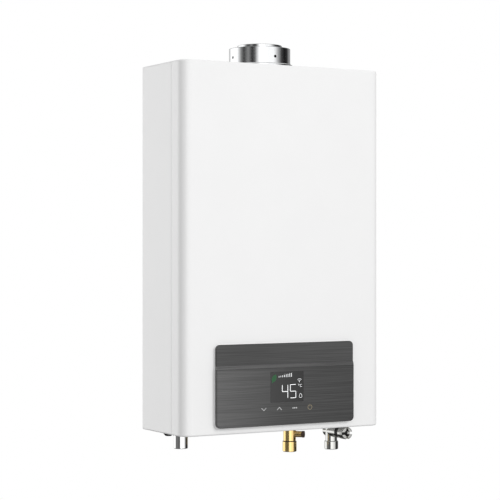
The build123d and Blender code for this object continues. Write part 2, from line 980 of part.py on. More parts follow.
def hexagon_nut(flats, bore, height, x, z):
    """Hexagon nut on the axis of a pipe or fitting."""
    hexagon = RegularPolygon(flats / 2, 6, major_radius=False)
    nut = extrude(Pos(x, fitting_y, z) * hexagon, amount=height)
    return nut - upright(bore, x, fitting_y, z, z + height)


def fitting_lock_nuts():
    """Nuts that clamp the three fittings to the bottom plate."""
    nuts = []
    for x, neck in ((hot_x, hot_neck_radius), (gas_x, gas_neck_radius), (cold_x, cold_neck_radius)):
        nuts.append(hexagon_nut(lock_nut_flats, neck + running_gap, lock_nut_height, x, inner_bottom))
    return Compound(children=nuts)


def cable_gland():
    """Snap-in bush for the mains cable."""
    low = bottom - gland_drop
    points = [
        (gland_bore_radius, low),
        (gland_collar_radius - gland_rounding, low),
        (gland_collar_radius, low + gland_rounding),
        (gland_collar_radius, bottom),
        (gland_neck_radius, bottom),
        (gland_neck_radius, inner_bottom),
        (gland_lip_radius, inner_bottom),
        (gland_neck_radius, inner_bottom + gland_lip_height),
        (gland_relief_radius, inner_bottom + gland_lip_height),
        (gland_relief_radius, bottom - gland_relief_drop),
        (gland_bore_radius, bottom - gland_relief_drop),
    ]
    return turned(points, gland_x, gland_y)


# Burner

def bar_places():
    """Centres of the burner bars across the burner."""
    return row(bar_count, bar_pitch)


def row_half():
    """Half width of the whole row of bars."""
    return (bar_count - 1) * bar_pitch / 2 + bar_thickness / 2


def burner_box():
    """Open-topped tray with secondary air slots and an opening for the nozzles."""
    box = block(-chamber_x, chamber_x, chamber_front, chamber_back, burner_floor, chamber_floor)
    inner_x = chamber_x - burner_wall
    floor = burner_floor + burner_wall
    y0 = chamber_front + burner_wall
    y1 = chamber_back - burner_wall
    box -= block(-inner_x, inner_x, y0, y1, floor, chamber_floor)
    reach = row_half()
    opening = 2 * nozzle_radius
    box -= block(-reach, reach, chamber_front, y0, nozzle_z - opening, nozzle_z + opening)
    half = air_slot_width / 2
    for x in row(bar_count - 1, bar_pitch):
        box -= block(x - half, x + half, y0 + bar_clearance, y1 - bar_clearance, burner_floor, floor)
    return box


def burner_bar():
    """One flame bar: flame groove along its top and a mixing tube at its front."""
    floor = burner_floor + burner_wall
    y0 = chamber_front + burner_wall + bar_clearance
    y1 = chamber_back - burner_wall - bar_clearance
    half = bar_thickness / 2
    bar = block(-half, half, y0, y1, floor, floor + bar_height)
    bar = fillet(bar.edges().filter_by(Axis.Z), bar_rounding)
    crest = floor + bar_height
    groove = bar_groove_width / 2
    bar -= block(-groove, groove, y0 + half, y1 - half, crest - bar_groove_depth, crest)
    return bar - along_y(bar_mouth_radius, 0, nozzle_z, y0, y0 + bar_mouth_depth)


def burner_bars():
    """Row of flame bars that stand on the burner floor."""
    bar = burner_bar()
    return Compound(children=[Pos(x, 0, 0) * bar for x in bar_places()])


def gas_manifold():
    """Bar in front of the burner that feeds the nozzles, with an ear at each end."""
    half_x = row_half() + manifold_overhang
    top_face = manifold_bottom + manifold_height
    bar = block(-half_x, half_x, manifold_front, manifold_back, manifold_bottom, top_face)
    bar = fillet(bar.edges().filter_by(Axis.X).group_by(Axis.Y)[0], manifold_depth / 4)
    for side in (-1, 1):
        x0, x1 = sorted((side * (half_x - manifold_ear), side * half_x))
        low = manifold_bottom + manifold_height
        bar += block(x0, x1, manifold_back, chamber_front, low - manifold_ear, low)
    return bar


def gas_nozzle():
    """Brass jet that points into the mouth of a flame bar."""
    tip = manifold_back + nozzle_reach
    points = [
        (nozzle_orifice_radius, manifold_back),
        (nozzle_radius, manifold_back),
        (nozzle_radius, tip - nozzle_radius / 2),
        (nozzle_radius / 2, tip),
        (nozzle_orifice_radius, tip),
    ]
    return turned_along_y(points, 0, nozzle_z)


def gas_nozzles():
    """One jet for each flame bar."""
    nozzle = gas_nozzle()
    return Compound(children=[Pos(x, 0, 0) * nozzle for x in bar_places()])


def electrode_z():
    """Height of the electrodes above the base."""
    return chamber_floor + electrode_rise


def electrode_bores(radius, y0, y1):
    """Round bars at the places of the electrodes."""
    return [along_y(radius, x, electrode_z(), y0, y1) for x in row(electrode_count, electrode_spacing)]


def electrode_plate():
    """Plate on the front of the chamber that holds the electrodes."""
    half_x = (electrode_count - 1) * electrode_spacing / 2 + electrode_plate_margin
    half_z = electrode_plate_height / 2
    y0 = chamber_front - electrode_plate_thickness
    plate = block(-half_x, half_x, y0, chamber_front, electrode_z() - half_z, electrode_z() + half_z)
    for bore in electrode_bores(ceramic_rod_radius + assembly_gap, y0, chamber_front):
        plate -= bore
    return plate


def electrode_ceramics():
    """Insulators that pass through the plate and the chamber wall."""
    plate_face = chamber_front - electrode_plate_thickness
    collar_face = plate_face - ceramic_collar_length
    points = [
        (pin_radius + running_gap, chamber_front - ceramic_outside),
        (ceramic_rod_radius, chamber_front - ceramic_outside),
        (ceramic_rod_radius, collar_face),
        (ceramic_collar_radius, collar_face),
        (ceramic_collar_radius, plate_face),
        (ceramic_rod_radius, plate_face),
        (ceramic_rod_radius, chamber_front + ceramic_inside),
        (pin_radius + running_gap, chamber_front + ceramic_inside),
    ]
    rod = turned_along_y(points, 0, electrode_z())
    return Compound(children=[Pos(x, 0, 0) * rod for x in row(electrode_count, electrode_spacing)])


def electrode_pins():
    """Metal pins that reach over the flame bars."""
    y0 = chamber_front - ceramic_outside - pin_outside
    return Compound(children=electrode_bores(pin_radius, y0, chamber_front + pin_inside))


# Combustion chamber and heat exchanger

def tube_places():
    """Depths of the exchanger tubes, from the front to the back."""
    return [chamber_y + offset for offset in row(tube_count, tube_pitch)]


def combustion_chamber():
    """Copper shell, open above and below, that carries the exchanger tubes."""
    shell = block(-chamber_x, chamber_x, chamber_front, chamber_back, chamber_floor, chamber_top)
    inner_x = chamber_x - chamber_wall
    shell -= block(-inner_x, inner_x, chamber_front + chamber_wall, chamber_back - chamber_wall,
                   chamber_floor, chamber_top)
    for y in tube_places():
        shell -= along_x(tube_radius + tube_gap, y, tube_z, -chamber_x, chamber_x)
    inside = chamber_front + chamber_wall
    for bore in electrode_bores(ceramic_rod_radius + assembly_gap, chamber_front, inside):
        shell -= bore
    return shell


def exchanger_tubes():
    """Straight water tubes across the chamber."""
    tubes = []
    for y in tube_places():
        tube = along_x(tube_radius, y, tube_z, -tube_end, tube_end)
        tubes.append(tube - along_x(tube_radius - tube_wall, y, tube_z, -tube_end, tube_end))
    return Compound(children=tubes)


def exchanger_fin():
    """One fin, notched from below to sit over the tubes."""
    y0 = chamber_front + chamber_wall + fin_edge_gap
    y1 = chamber_back - chamber_wall - fin_edge_gap
    half = fin_thickness / 2
    fin = block(-half, half, y0, y1, tube_z - fin_below_tube, tube_z + fin_above_tube)
    notch = tube_radius + tube_gap
    for y in tube_places():
        fin -= along_x(notch, y, tube_z, -half, half)
        fin -= block(-half, half, y - notch, y + notch, tube_z - fin_below_tube, tube_z)
    return fin


def exchanger_fins():
    """Row of fins across the chamber."""
    pitch = 2 * (chamber_x - fin_margin) / (fin_count - 1)
    fin = exchanger_fin()
    return Compound(children=[Pos(x, 0, 0) * fin for x in row(fin_count, pitch)])


def return_cap(y0, y1, side):
    """Cap that turns the water from one tube into the next."""
    radius = tube_radius + cap_margin
    plane = Plane((side * tube_end, (y0 + y1) / 2, tube_z), x_dir=(0, 1, 0), z_dir=(side, 0, 0))
    cap = extrude(plane * SlotOverall(y1 - y0 + 2 * radius, 2 * radius), amount=cap_length)
    outer = cap.faces().sort_by(Axis.X)[-1 if side > 0 else 0]
    return fillet(outer.edges(), cap_rounding)


def return_caps():
    """Caps at alternate ends of neighbouring tubes."""
    places = tube_places()
    caps = []
    for i in range(tube_count - 1):
        side = 1 if i % 2 == 0 else -1
        caps.append(return_cap(places[i], places[i + 1], side))
    return Compound(children=caps)


def chamber_rails():
    """Channels that carry the chamber on the back of the pan."""
    rails = []
    for z in (chamber_floor + rail_inset, chamber_top - rail_inset):
        half = rail_height / 2
        inner = half - rail_sheet
        points = [
            (inner_back, z - half),
            (inner_back, z + half),
            (chamber_back, z + half),
            (chamber_back, z + inner),
            (inner_back - rail_sheet, z + inner),
            (inner_back - rail_sheet, z - inner),
            (chamber_back, z - inner),
            (chamber_back, z - half),
        ]
        rails.append(profile_yz(points, -chamber_x + rail_end_gap, chamber_x - rail_end_gap))
    return Compound(children=rails)


def overheat_thermostat():
    """Disc thermostat on the hot side of the chamber."""
    z = tube_z - tube_radius - cap_margin - 2 * thermostat_radius
    disc = along_x(thermostat_radius, chamber_y, z, -chamber_x - thermostat_length, -chamber_x)
    x0 = -chamber_x - thermostat_length
    half_y = thermostat_tab_thickness / 2
    half_z = thermostat_tab_reach / 2
    for side in (-1, 1):
        y = chamber_y + side * thermostat_radius / 2
        disc += block(x0 - thermostat_tab_reach, x0, y - half_y, y + half_y, z - half_z, z + half_z)
    return disc


# Exhaust hood and fan

def hood_points(inset):
    """Side view of the hood, set in by the wall."""
    y0 = chamber_front + inset
    y1 = chamber_back - inset
    return [
        (y0, chamber_top),
        (y0, chamber_top + hood_height / 4),
        (duct_front + inset / 2, hood_top - inset),
        (y1, hood_top - inset),
        (y1, chamber_top),
    ]


def duct_half():
    """Half width of the duct behind the fan."""
    return duct_width / 2


def exhaust_hood():
    """Sloped hood on the chamber, open above into the duct."""
    hood = profile_yz(hood_points(0), -chamber_x, chamber_x)
    hood -= profile_yz(hood_points(hood_wall), -chamber_x + hood_wall, chamber_x - hood_wall)
    inner = duct_half() - hood_wall
    return hood - block(fan_x - inner, fan_x + inner, duct_front + hood_wall, chamber_back - hood_wall,
                        hood_top - hood_wall, hood_top)


def fan_inlet_duct():
    """Flat duct that leads the exhaust into the eye of the fan."""
    half = duct_half()
    head = fan_z + duct_head
    duct = block(fan_x - half, fan_x + half, duct_front, chamber_back, hood_top, head)
    inner = half - hood_wall
    duct -= block(fan_x - inner, fan_x + inner, duct_front + hood_wall, chamber_back - hood_wall,
                  hood_top, head - hood_wall)
    return duct - along_y(inlet_eye_radius, fan_x, fan_z, duct_front, duct_front + hood_wall)


def scroll_face(inset, lift):
    """Spiral outline of the fan casing from three quarter arcs and a straight outlet."""
    r1 = scroll_radius - inset
    r2 = r1 + scroll_growth
    r3 = r2 + scroll_growth
    bx = scroll_x + scroll_growth
    cz = scroll_z + scroll_growth
    start_x = scroll_x + inset
    start_z = scroll_z + math.sqrt(r1 * r1 - inset * inset)
    right = bx + r3
    out = outlet_z + lift
    lean = math.sqrt(0.5)
    tongue = (start_x, 0, start_z)
    left = (scroll_x - r1, 0, scroll_z)
    low = (bx, 0, scroll_z - r2)
    side = (right, 0, cz)
    edges = [
        ThreePointArc(tongue, (scroll_x - r1 * lean, 0, scroll_z + r1 * lean), left),
        ThreePointArc(left, (bx - r2 * lean, 0, scroll_z - r2 * lean), low),
        ThreePointArc(low, (bx + r3 * lean, 0, cz - r3 * lean), side),
        Line(side, (right, 0, out)),
        Line((right, 0, out), (start_x, 0, out)),
        Line((start_x, 0, out), tongue),
    ]
    return make_face(edges)


def scroll(inset, lift, y0, y1):
    """Fan casing form between two depths."""
    face = Pos(0, y0, 0) * scroll_face(inset, lift)
    return extrude(face, amount=y1 - y0, dir=(0, 1, 0))


def outlet_flange_half():
    """Half sizes of the flange on the fan outlet."""
    half_x = (scroll_radius + 3 * scroll_growth) / 2 + outlet_flange
    return half_x, fan_width / 2 + outlet_flange


def fan_housing():
    """Spiral sheet casing with the eye behind, the motor hole in front and a plate with a round outlet."""
    half_x, half_y = outlet_flange_half()
    casing = scroll(0, 0, fan_front, duct_front)
    casing += block(-half_x, half_x, flue_y - half_y, flue_y + half_y, outlet_z, outlet_top)
    casing -= scroll(fan_wall, 0, fan_front + fan_wall, duct_front - fan_wall)
    outlet = scroll(fan_wall, outlet_flange_thickness, fan_front + fan_wall, duct_front - fan_wall)
    casing -= outlet & upright(neck_bore, 0, flue_y, outlet_z, outlet_top)
    casing -= along_y(inlet_eye_radius, fan_x, fan_z, duct_front - fan_wall, duct_front)
    return casing - along_y(shaft_hole_radius, fan_x, fan_z, fan_front, fan_front + fan_wall)


def fan_impeller():
    """Cage of slanted blades between a disc and a ring, on the motor shaft."""
    disc_front = fan_front + fan_wall + impeller_margin
    disc_back = disc_front + impeller_disc
    ring_back = duct_front - fan_wall - impeller_margin
    ring_front = ring_back - impeller_disc
    wheel = along_y(impeller_radius, 0, 0, disc_front, disc_back)
    ring = along_y(impeller_radius, 0, 0, ring_front, ring_back)
    wheel += ring - along_y(impeller_radius - impeller_ring, 0, 0, ring_front, ring_back)
    blade_middle = impeller_radius - impeller_ring / 2
    length = ring_front - disc_back
    blade = Box(blade_thickness, length, blade_length - 2 * blade_thickness)
    for i in range(blade_count):
        turn = Rot(0, i * 360 / blade_count, 0)
        place = Pos(0, (disc_back + ring_front) / 2, blade_middle - blade_thickness / 2)
        wheel += turn * place * Rot(0, blade_turn, 0) * blade
    wheel += along_y(hub_radius, 0, 0, disc_back, disc_back + hub_length)
    wheel += along_y(shaft_radius, 0, 0, disc_front - shaft_length, disc_front)
    return Pos(fan_x, 0, fan_z) * wheel


def fan_motor():
    """Motor on the front of the fan casing, with a bore for the shaft."""
    bore = shaft_radius + running_gap
    face = fan_front - motor_flange_thickness
    end = fan_front - motor_length
    nose = end - motor_cap_length
    points = [
        (bore, fan_front),
        (motor_flange_radius, fan_front),
        (motor_flange_radius, face),
        (motor_radius, face),
        (motor_radius, end + motor_cap_length / 2),
        (motor_radius - motor_cap_length / 2, end),
        (motor_cap_radius, end),
        (motor_cap_radius, nose),
        (bore, nose),
    ]
    return turned_along_y(points, fan_x, fan_z)


# Water side

def sensor_floor():
    """Foot of the flow sensor, on the neck of the cold inlet."""
    return neck_top


def cross_bar(z0):
    """Bar across the sensor bore with a pivot hole."""
    half = sensor_bar_width / 2
    reach = sensor_bore_radius + assembly_gap
    z1 = z0 + sensor_bar_height
    bar = block(cold_x - reach, cold_x + reach, fitting_y - half, fitting_y + half, z0, z1)
    return bar - upright(pivot_radius + running_gap, cold_x, fitting_y, z0, z1)


def flow_sensor_body():
    """Tube with a lower pivot bar, a seat for the cap and a pickup pocket on its side."""
    floor = sensor_floor()
    head = floor + sensor_length
    body = upright(sensor_radius, cold_x, fitting_y, floor, head)
    half = sensor_pickup_width / 2
    middle = floor + sensor_length / 2
    tall = sensor_pickup_height / 2
    body += block(cold_x - half, cold_x + half, fitting_y - sensor_radius - sensor_pickup_depth, fitting_y,
                  middle - tall, middle + tall)
    body -= upright(sensor_bore_radius, cold_x, fitting_y, floor, head)
    body -= upright(sensor_cap_radius + running_gap, cold_x, fitting_y, head - sensor_cap_length, head)
    return body + cross_bar(rotor_low() - sensor_bar_height - running_gap)


def rotor_low():
    """Height of the lower shoulder of the rotor."""
    upper_bar = sensor_floor() + sensor_length - sensor_cap_length
    return upper_bar - running_gap - rotor_length


def flow_sensor_cap():
    """Ring with the upper pivot bar, dropped into the sensor body."""
    head = sensor_floor() + sensor_length
    low = head - sensor_cap_length
    ring = upright(sensor_cap_radius, cold_x, fitting_y, low, head)
    ring -= upright(sensor_bore_radius, cold_x, fitting_y, low, head)
    return ring + cross_bar(low)


def flow_turbine():
    """Rotor with slanted blades and a pivot at each end."""
    low = rotor_low()
    high = low + rotor_length
    rotor = upright(rotor_hub_radius, 0, 0, low, high)
    rotor += upright(pivot_radius, 0, 0, low - pivot_length, high + pivot_length)
    span = rotor_radius - rotor_hub_radius + rotor_blade_root
    middle = rotor_radius - span / 2
    for i in range(rotor_blade_count):
        blade = Rot(rotor_blade_turn, 0, 0) * Box(span, rotor_blade_thickness, rotor_blade_height)
        rotor += Rot(0, 0, i * 360 / rotor_blade_count) * Pos(middle, 0, (low + high) / 2) * blade
    rotor &= upright(rotor_radius, 0, 0, low - pivot_length, high + pivot_length)
    return Pos(cold_x, fitting_y, 0) * rotor


def water_pipe(x, y_end, z_start, x_end):
    """Bent copper pipe from a fitting up to an exchanger tube."""
    points = [
        (x, fitting_y, z_start),
        (x, fitting_y, bottom + pipe_jog_low),
        (x, y_end, bottom + pipe_jog_high),
        (x, y_end, tube_z),
        (x_end, y_end, tube_z),
    ]
    path = FilletPolyline(*points, radius=[pipe_jog_bend, pipe_jog_bend, pipe_top_bend])
    section = Circle(pipe_radius) - Circle(pipe_radius - pipe_wall)
    return sweep(Plane(points[0], z_dir=(0, 0, 1)) * section, path=path)


def cold_pipe():
    """Pipe from the flow sensor to the first exchanger tube."""
    return water_pipe(cold_x, tube_places()[-1], sensor_floor() + sensor_length, tube_end)


def hot_pipe():
    """Pipe from the last exchanger tube to the hot outlet."""
    return water_pipe(hot_x, tube_places()[0], neck_top, -tube_end)


def pipe_nuts():
    """Union nuts of the two water pipes."""
    nuts = []
    for x, z in ((cold_x, sensor_floor() + sensor_length), (hot_x, neck_top)):
        nuts.append(hexagon_nut(nut_across_flats, pipe_radius + assembly_gap, nut_height, x, z))
    return Compound(children=nuts)


def thermistor(x, side):
    """Sensor block clipped against the inner side of a pipe."""
    z = bottom + thermistor_rise
    half_y = thermistor_width / 2
    half_z = thermistor_height / 2
    x0, x1 = sorted((x, x + side * (pipe_radius + thermistor_reach)))
    clip = block(x0, x1, fitting_y - half_y, fitting_y + half_y, z - half_z, z + half_z)
    return clip - upright(pipe_radius + running_gap, x, fitting_y, z - half_z, z + half_z)


def pipe_thermistors():
    """Temperature sensors on the cold and hot pipes."""
    return Compound(children=[thermistor(cold_x, -1), thermistor(hot_x, 1)])


# Gas side

def coil_places():
    """Depths of the two coils on the gas valve."""
    first = fitting_y + coil_behind
    return [first, first - coil_pitch]


def gas_valve_body():
    """Cast block on the gas inlet: a seat and cavity under each coil, and a channel to the riser."""
    half = valve_width / 2
    y0 = manifold_y - valve_ahead
    y1 = fitting_y + valve_behind
    body = block(gas_x - half, gas_x + half, y0, y1, valve_floor, valve_top)
    body = fillet(body.edges().filter_by(Axis.Z), valve_rounding)
    for y in coil_places():
        body -= upright(cavity_radius, gas_x, y, valve_top - cavity_depth, valve_top)
    first = coil_places()[0]
    body -= upright(valve_seat_radius, gas_x, first, valve_floor, valve_top - cavity_depth)
    body -= along_y(valve_channel_radius, gas_x, valve_top - cavity_depth / 2, manifold_y, first)
    bore = riser_radius - riser_wall
    return body - upright(bore, gas_x, manifold_y, valve_top - cavity_depth, valve_top)


def gas_valve_coils():
    """Two coil cans that close the cavities and guide the plungers."""
    coils = []
    for y in coil_places():
        can = upright(coil_radius, gas_x, y, valve_top, valve_top + coil_height)
        can = fillet(can.edges().group_by(Axis.Z)[-1], coil_radius / 6)
        well_top = valve_top + coil_height - coil_wall_top
        coils.append(can - upright(plunger_radius + plunger_gap, gas_x, y, valve_top, well_top))
    return Compound(children=coils)


def plunger(y):
    """Iron plunger with a sealing disc on its foot."""
    foot = valve_top - cavity_depth + plunger_seat_gap
    disc = upright(plunger_disc_radius, gas_x, y, foot, foot + plunger_disc_thickness)
    return disc + upright(plunger_radius, gas_x, y, foot, foot + plunger_length)


def shutoff_plunger():
    """Plunger of the safety shut-off stage."""
    return plunger(coil_places()[0])


def modulating_plunger():
    """Plunger of the stage that sets the flame."""
    return plunger(coil_places()[1])


def gas_riser():
    """Short pipe from the gas valve up to the manifold."""
    tube = upright(riser_radius, gas_x, manifold_y, valve_top, manifold_bottom)
    return tube - upright(riser_radius - riser_wall, gas_x, manifold_y, valve_top, manifold_bottom)


# Electronics

def controller_ends():
    """Lower and upper ends of the controller."""
    middle = top - controller_below_top
    return middle - controller_height / 2, middle + controller_height / 2


def controller_box():
    """Open moulded tray on the back of the pan, with posts for the board."""
    low, high = controller_ends()
    half = controller_width / 2
    face = inner_back - controller_depth
    tray = block(controller_x - half, controller_x + half, face, inner_back, low, high)
    inner = half - controller_wall
    floor = inner_back - controller_wall
    tray -= block(controller_x - inner, controller_x + inner, face, floor,
                  low + controller_wall, high - controller_wall)
    post_x = inner - 2 * controller_post_radius
    post_z = controller_height / 2 - controller_wall - 2 * controller_post_radius
    middle = (low + high) / 2
    for x in (controller_x - post_x, controller_x + post_x):
        for z in (middle - post_z, middle + post_z):
            tray += along_y(controller_post_radius, x, z, floor - controller_post_height, floor)
    return tray


def controller_board():
    """Circuit board with a finned heat sink and a strip of connectors."""
    low, high = controller_ends()
    inset = controller_wall + controller_board_gap
    half = controller_width / 2 - inset
    y1 = inner_back - controller_wall - controller_post_height
    y0 = y1 - board_thickness
    left = controller_x - half
    right = controller_x + half
    board = block(left, right, y0, y1, low + inset, high - inset)
    strip = low + 2 * inset + connector_strip_height
    board += block(left + inset, right - inset, y0 - connector_strip_depth, y0, low + 2 * inset, strip)
    sink_top = high - 2 * inset
    pitch = (half - inset) / heat_sink_fins
    for i in range(heat_sink_fins):
        x = left + inset + i * pitch
        board += block(x, x + heat_sink_fin, y0 - heat_sink_depth, y0, sink_top - heat_sink_height, sink_top)
    return board


def igniter():
    """Moulded spark generator with two high-voltage terminals."""
    low = bottom + igniter_above_base
    high = low + igniter_height
    half = igniter_width / 2
    face = inner_back - igniter_depth
    body = block(igniter_x - half, igniter_x + half, face, inner_back, low, high)
    body = fillet(body.edges().group_by(Axis.Y)[0], igniter_rounding)
    y = inner_back - igniter_depth / 2
    for x in row(2, igniter_terminal_spacing):
        body += upright(igniter_terminal_radius, igniter_x + x, y, high, high + igniter_terminal_length)
    return body


def air_pressure_switch():
    """Diaphragm switch that proves the fan, on a boss on the back of the pan."""
    z = top - switch_below_top
    boss_face = inner_back - switch_boss_depth
    face = boss_face - switch_depth
    body = along_y(switch_boss_radius, switch_x, z, boss_face, inner_back)
    can = along_y(switch_radius, switch_x, z, face, boss_face)
    body += fillet(can.edges().filter_by(GeomType.CIRCLE), switch_depth / 5)
    return body + along_y(switch_tap_radius, switch_x, z, face - switch_tap_length, face)


nodes = {
    "rear_pan": rear_pan,
    "front_cover": front_cover,
    "cover_gasket": cover_gasket,
    "cover_screws": cover_screws,
    "control_panel": control_panel,
    "display_lens": display_lens,
    "display_module": display_module,
    "display_board": display_board,
    "touch_pads": touch_pads,
    "display_housing": display_housing,
    "flue_collar": flue_collar,
    "flue_gasket": flue_gasket,
    "exhaust_spigot": exhaust_spigot,
    "hot_outlet_nipple": hot_outlet_nipple,
    "gas_inlet_fitting": gas_inlet_fitting,
    "gas_test_screw": gas_test_screw,
    "inlet_valve_body": inlet_valve_body,
    "inlet_cartridge": inlet_cartridge,
    "inlet_disc": inlet_disc,
    "inlet_spindle": inlet_spindle,
    "knob_seal": knob_seal,
    "inlet_knob": inlet_knob,
    "fitting_lock_nuts": fitting_lock_nuts,
    "cable_gland": cable_gland,
    "burner_box": burner_box,
    "burner_bars": burner_bars,
    "gas_manifold": gas_manifold,
    "gas_nozzles": gas_nozzles,
    "electrode_plate": electrode_plate,
    "electrode_ceramics": electrode_ceramics,
    "electrode_pins": electrode_pins,
    "combustion_chamber": combustion_chamber,
    "exchanger_tubes": exchanger_tubes,
    "exchanger_fins": exchanger_fins,
    "return_caps": return_caps,
    "chamber_rails": chamber_rails,
    "overheat_thermostat": overheat_thermostat,
    "exhaust_hood": exhaust_hood,
    "fan_inlet_duct": fan_inlet_duct,
    "fan_housing": fan_housing,
    "fan_impeller": fan_impeller,
    "fan_motor": fan_motor,
    "flow_sensor_body": flow_sensor_body,
    "flow_sensor_cap": flow_sensor_cap,
    "flow_turbine": flow_turbine,
    "cold_pipe": cold_pipe,
    "hot_pipe": hot_pipe,
    "pipe_nuts": pipe_nuts,
    "pipe_thermistors": pipe_thermistors,
    "gas_valve_body": gas_valve_body,
    "gas_valve_coils": gas_valve_coils,
    "shutoff_plunger": shutoff_plunger,
    "modulating_plunger": modulating_plunger,
    "gas_riser": gas_riser,
    "controller_box": controller_box,
    "controller_board": controller_board,
    "igniter": igniter,
    "air_pressure_switch": air_pressure_switch,
    "upper_wall_bracket": upper_wall_bracket,
    "lower_wall_bracket": lower_wall_bracket,
}

os.makedirs("parts", exist_ok=True)
for name, make in nodes.items():
    export_step(make(), f"parts/{name}.step")
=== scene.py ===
"""Looks of a wall-hung gas water heater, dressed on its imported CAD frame."""

import json
import math

import bmesh
import bpy
from bpy.props import FloatProperty, FloatVectorProperty, IntProperty, PointerProperty
from mathutils import Matrix, Vector


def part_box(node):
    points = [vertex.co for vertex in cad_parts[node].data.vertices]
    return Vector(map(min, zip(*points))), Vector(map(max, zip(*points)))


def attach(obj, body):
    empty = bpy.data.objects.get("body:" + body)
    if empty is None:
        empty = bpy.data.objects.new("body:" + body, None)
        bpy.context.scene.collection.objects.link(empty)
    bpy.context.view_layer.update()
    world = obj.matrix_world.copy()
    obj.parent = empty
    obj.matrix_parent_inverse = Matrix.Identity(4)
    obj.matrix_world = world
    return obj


bl_info = {
    "name": "Gas water heater looks",
    "version": (1, 0, 0),
    "blender": (4, 5, 0),
    "location": "3D View > Sidebar > Heater",
    "description": "Materials, display figures and stage for a wall-hung gas water heater",
    "category": "Object",
}

MM = 0.001

# Colour sockets of a Mix node
FIRST = 6
SECOND = 7
MIXED = 2

# Control panel: the step under its band, and how far back the film reaches
BAND_FOOT = -165.9 * MM
BEVEL_FOOT = -170.4 * MM
CREASE_SHADE_HALF = 0.45 * MM
FILM_WRAP = 5.7 * MM

# Flue tubes
COLLAR_BORE = 44.4 * MM
PIPE_SCREW_RISE = 15.3 * MM
PIPE_SCREW_SHADE = 2.05 * MM
FLUE_SHADE_TOP = 0.6 * MM
RIM_REFLECTION_LINE = 0.45 * MM

# Knob and gas fitting
RECESS_RADIUS = 5.2 * MM
RECESS_LIP = 0.4 * MM
GAS_THREAD_RADIUS = 10.48 * MM
GAS_GROOVE_DROP = 24.4 * MM
GAS_GROOVE_HALF = 0.7 * MM
TEST_CAP_REACH = 19.1 * MM

# Circuit boards and coats
LAMINATE = 1.7 * MM
TRACK_EDGE = 0.55
COAT_ROUGHNESS = 0.6

# Display digits, in shares of a stroke
DIGIT_GAP = 0.1
DIGIT_MITRE = 0.48

# Small display marks, placed on X and Z
LINK_PLACE = (20.6 * MM, -191.8 * MM)
LINK_RADII = (2.2 * MM, 4.4 * MM)
LINK_SPREAD = math.radians(48)
LINK_DOT_PLACE = (20.6 * MM, -191.6 * MM)
LINK_DOT_SIZE = 1.1 * MM
DEGREE_PLACE = (19.6 * MM, -195.9 * MM)
DEGREE_RADIUS = 0.8 * MM
DEGREE_STROKE = 0.8
CELSIUS_PLACE = (23.4 * MM, -197.3 * MM)
CELSIUS_RADIUS = 1.7 * MM
CELSIUS_START = math.radians(135)
CELSIUS_SWEEP = math.radians(270)
DROP_PLACE = (22.6 * MM, -212.4 * MM)
DROP_RADIUS = 2.3 * MM
DROP_OPENING = math.radians(55)
LEAF_PLACE = (-21.5 * MM, -185.6 * MM)
LEAF_WIDTH = 7.2 * MM
LEAF_HEIGHT = 10.8 * MM
LEAF_TURN = math.radians(28)
LEAF_POINT = 0.2
LEAF_STALK = 0.5

# Touch marks
DOT_PITCH = 2.9 * MM
DOT_SIZE = 1.7 * MM
POWER_OPENING = math.radians(24)
POWER_BAR_RISE = 0.8

# Sides of a small disc
ROUND_SEGMENTS = 20

# Weld spots of the wall brackets
BRACKET_PLATE = 1.5 * MM
WELD_RISE = 7.5 * MM
WELD_MARGIN = 16 * MM
WELD_RADIUS = 3.0 * MM
WELD_SHOULDER = 0.8 * MM
WELD_HEIGHT = 0.25 * MM

# Soft boxes: bearing from the front and height in degrees, distance and side in metres
KEY_BOX = {"azimuth": 20, "elevation": 20, "distance": 6.0, "size": 3.0}
REAR_BOX = {"azimuth": -160, "elevation": 10, "distance": 4.0, "size": 2.0}

# Glow of the reflection tent at each bearing from the front in degrees
TENT_GLOW = (
    (-180, 0.35), (-164, 0.76), (-122, 0.84), (-101, 0.16), (-88, 0.025), (-70, 0.17), (-56, 0.012),
    (-45, 0.08), (-34, 0.6), (-26, 1.0), (-12, 1.0), (0, 0.75), (20, 0.75), (30, 0.58), (41, 0.27),
    (55, 0.04), (72, 0.006), (92, 0.02), (106, 0.16), (180, 0.35),
)
TENT_STEPS = 96
TENT_POLE = 1.0 * MM

# Fades of the tent: its cloth by height and its floor by depth in metres, to strengths of the glow
TENT_TOP = {"From Min": 0.5, "From Max": 0.85, "To Min": 2.0, "To Max": 0.2}
TENT_FOOT = {"From Min": -0.95, "From Max": -0.65, "To Min": 0.2, "To Max": 2.0}
TENT_FLOOR = {"From Min": -0.6, "From Max": 0.2, "To Min": 0.4, "To Max": 0.03}

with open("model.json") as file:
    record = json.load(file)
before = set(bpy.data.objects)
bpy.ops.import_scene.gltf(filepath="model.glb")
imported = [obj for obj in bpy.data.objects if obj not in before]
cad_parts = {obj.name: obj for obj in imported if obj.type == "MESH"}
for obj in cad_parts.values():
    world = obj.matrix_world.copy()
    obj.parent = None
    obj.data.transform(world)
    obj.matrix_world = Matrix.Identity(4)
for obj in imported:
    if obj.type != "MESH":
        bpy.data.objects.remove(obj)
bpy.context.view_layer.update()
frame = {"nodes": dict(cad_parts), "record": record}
lens_low, lens_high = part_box("display_lens")
panel_low, panel_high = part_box("control_panel")
bracket_low, bracket_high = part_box("upper_wall_bracket")
pan_low, pan_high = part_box("rear_pan")
knob_low, knob_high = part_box("inlet_knob")
collar_low, collar_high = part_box("flue_collar")
spigot_low, spigot_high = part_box("exhaust_spigot")
gas_low, gas_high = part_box("gas_inlet_fitting")
board_low, board_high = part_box("controller_board")


def linear(code):
    """Linear RGBA colour from an sRGB hex value."""
    parts = [int(code[i:i + 2], 16) / 255 for i in (0, 2, 4)]
    return tuple(p / 12.92 if p <= 0.04045 else ((p + 0.055) / 1.055) ** 2.4 for p in parts) + (1.0,)


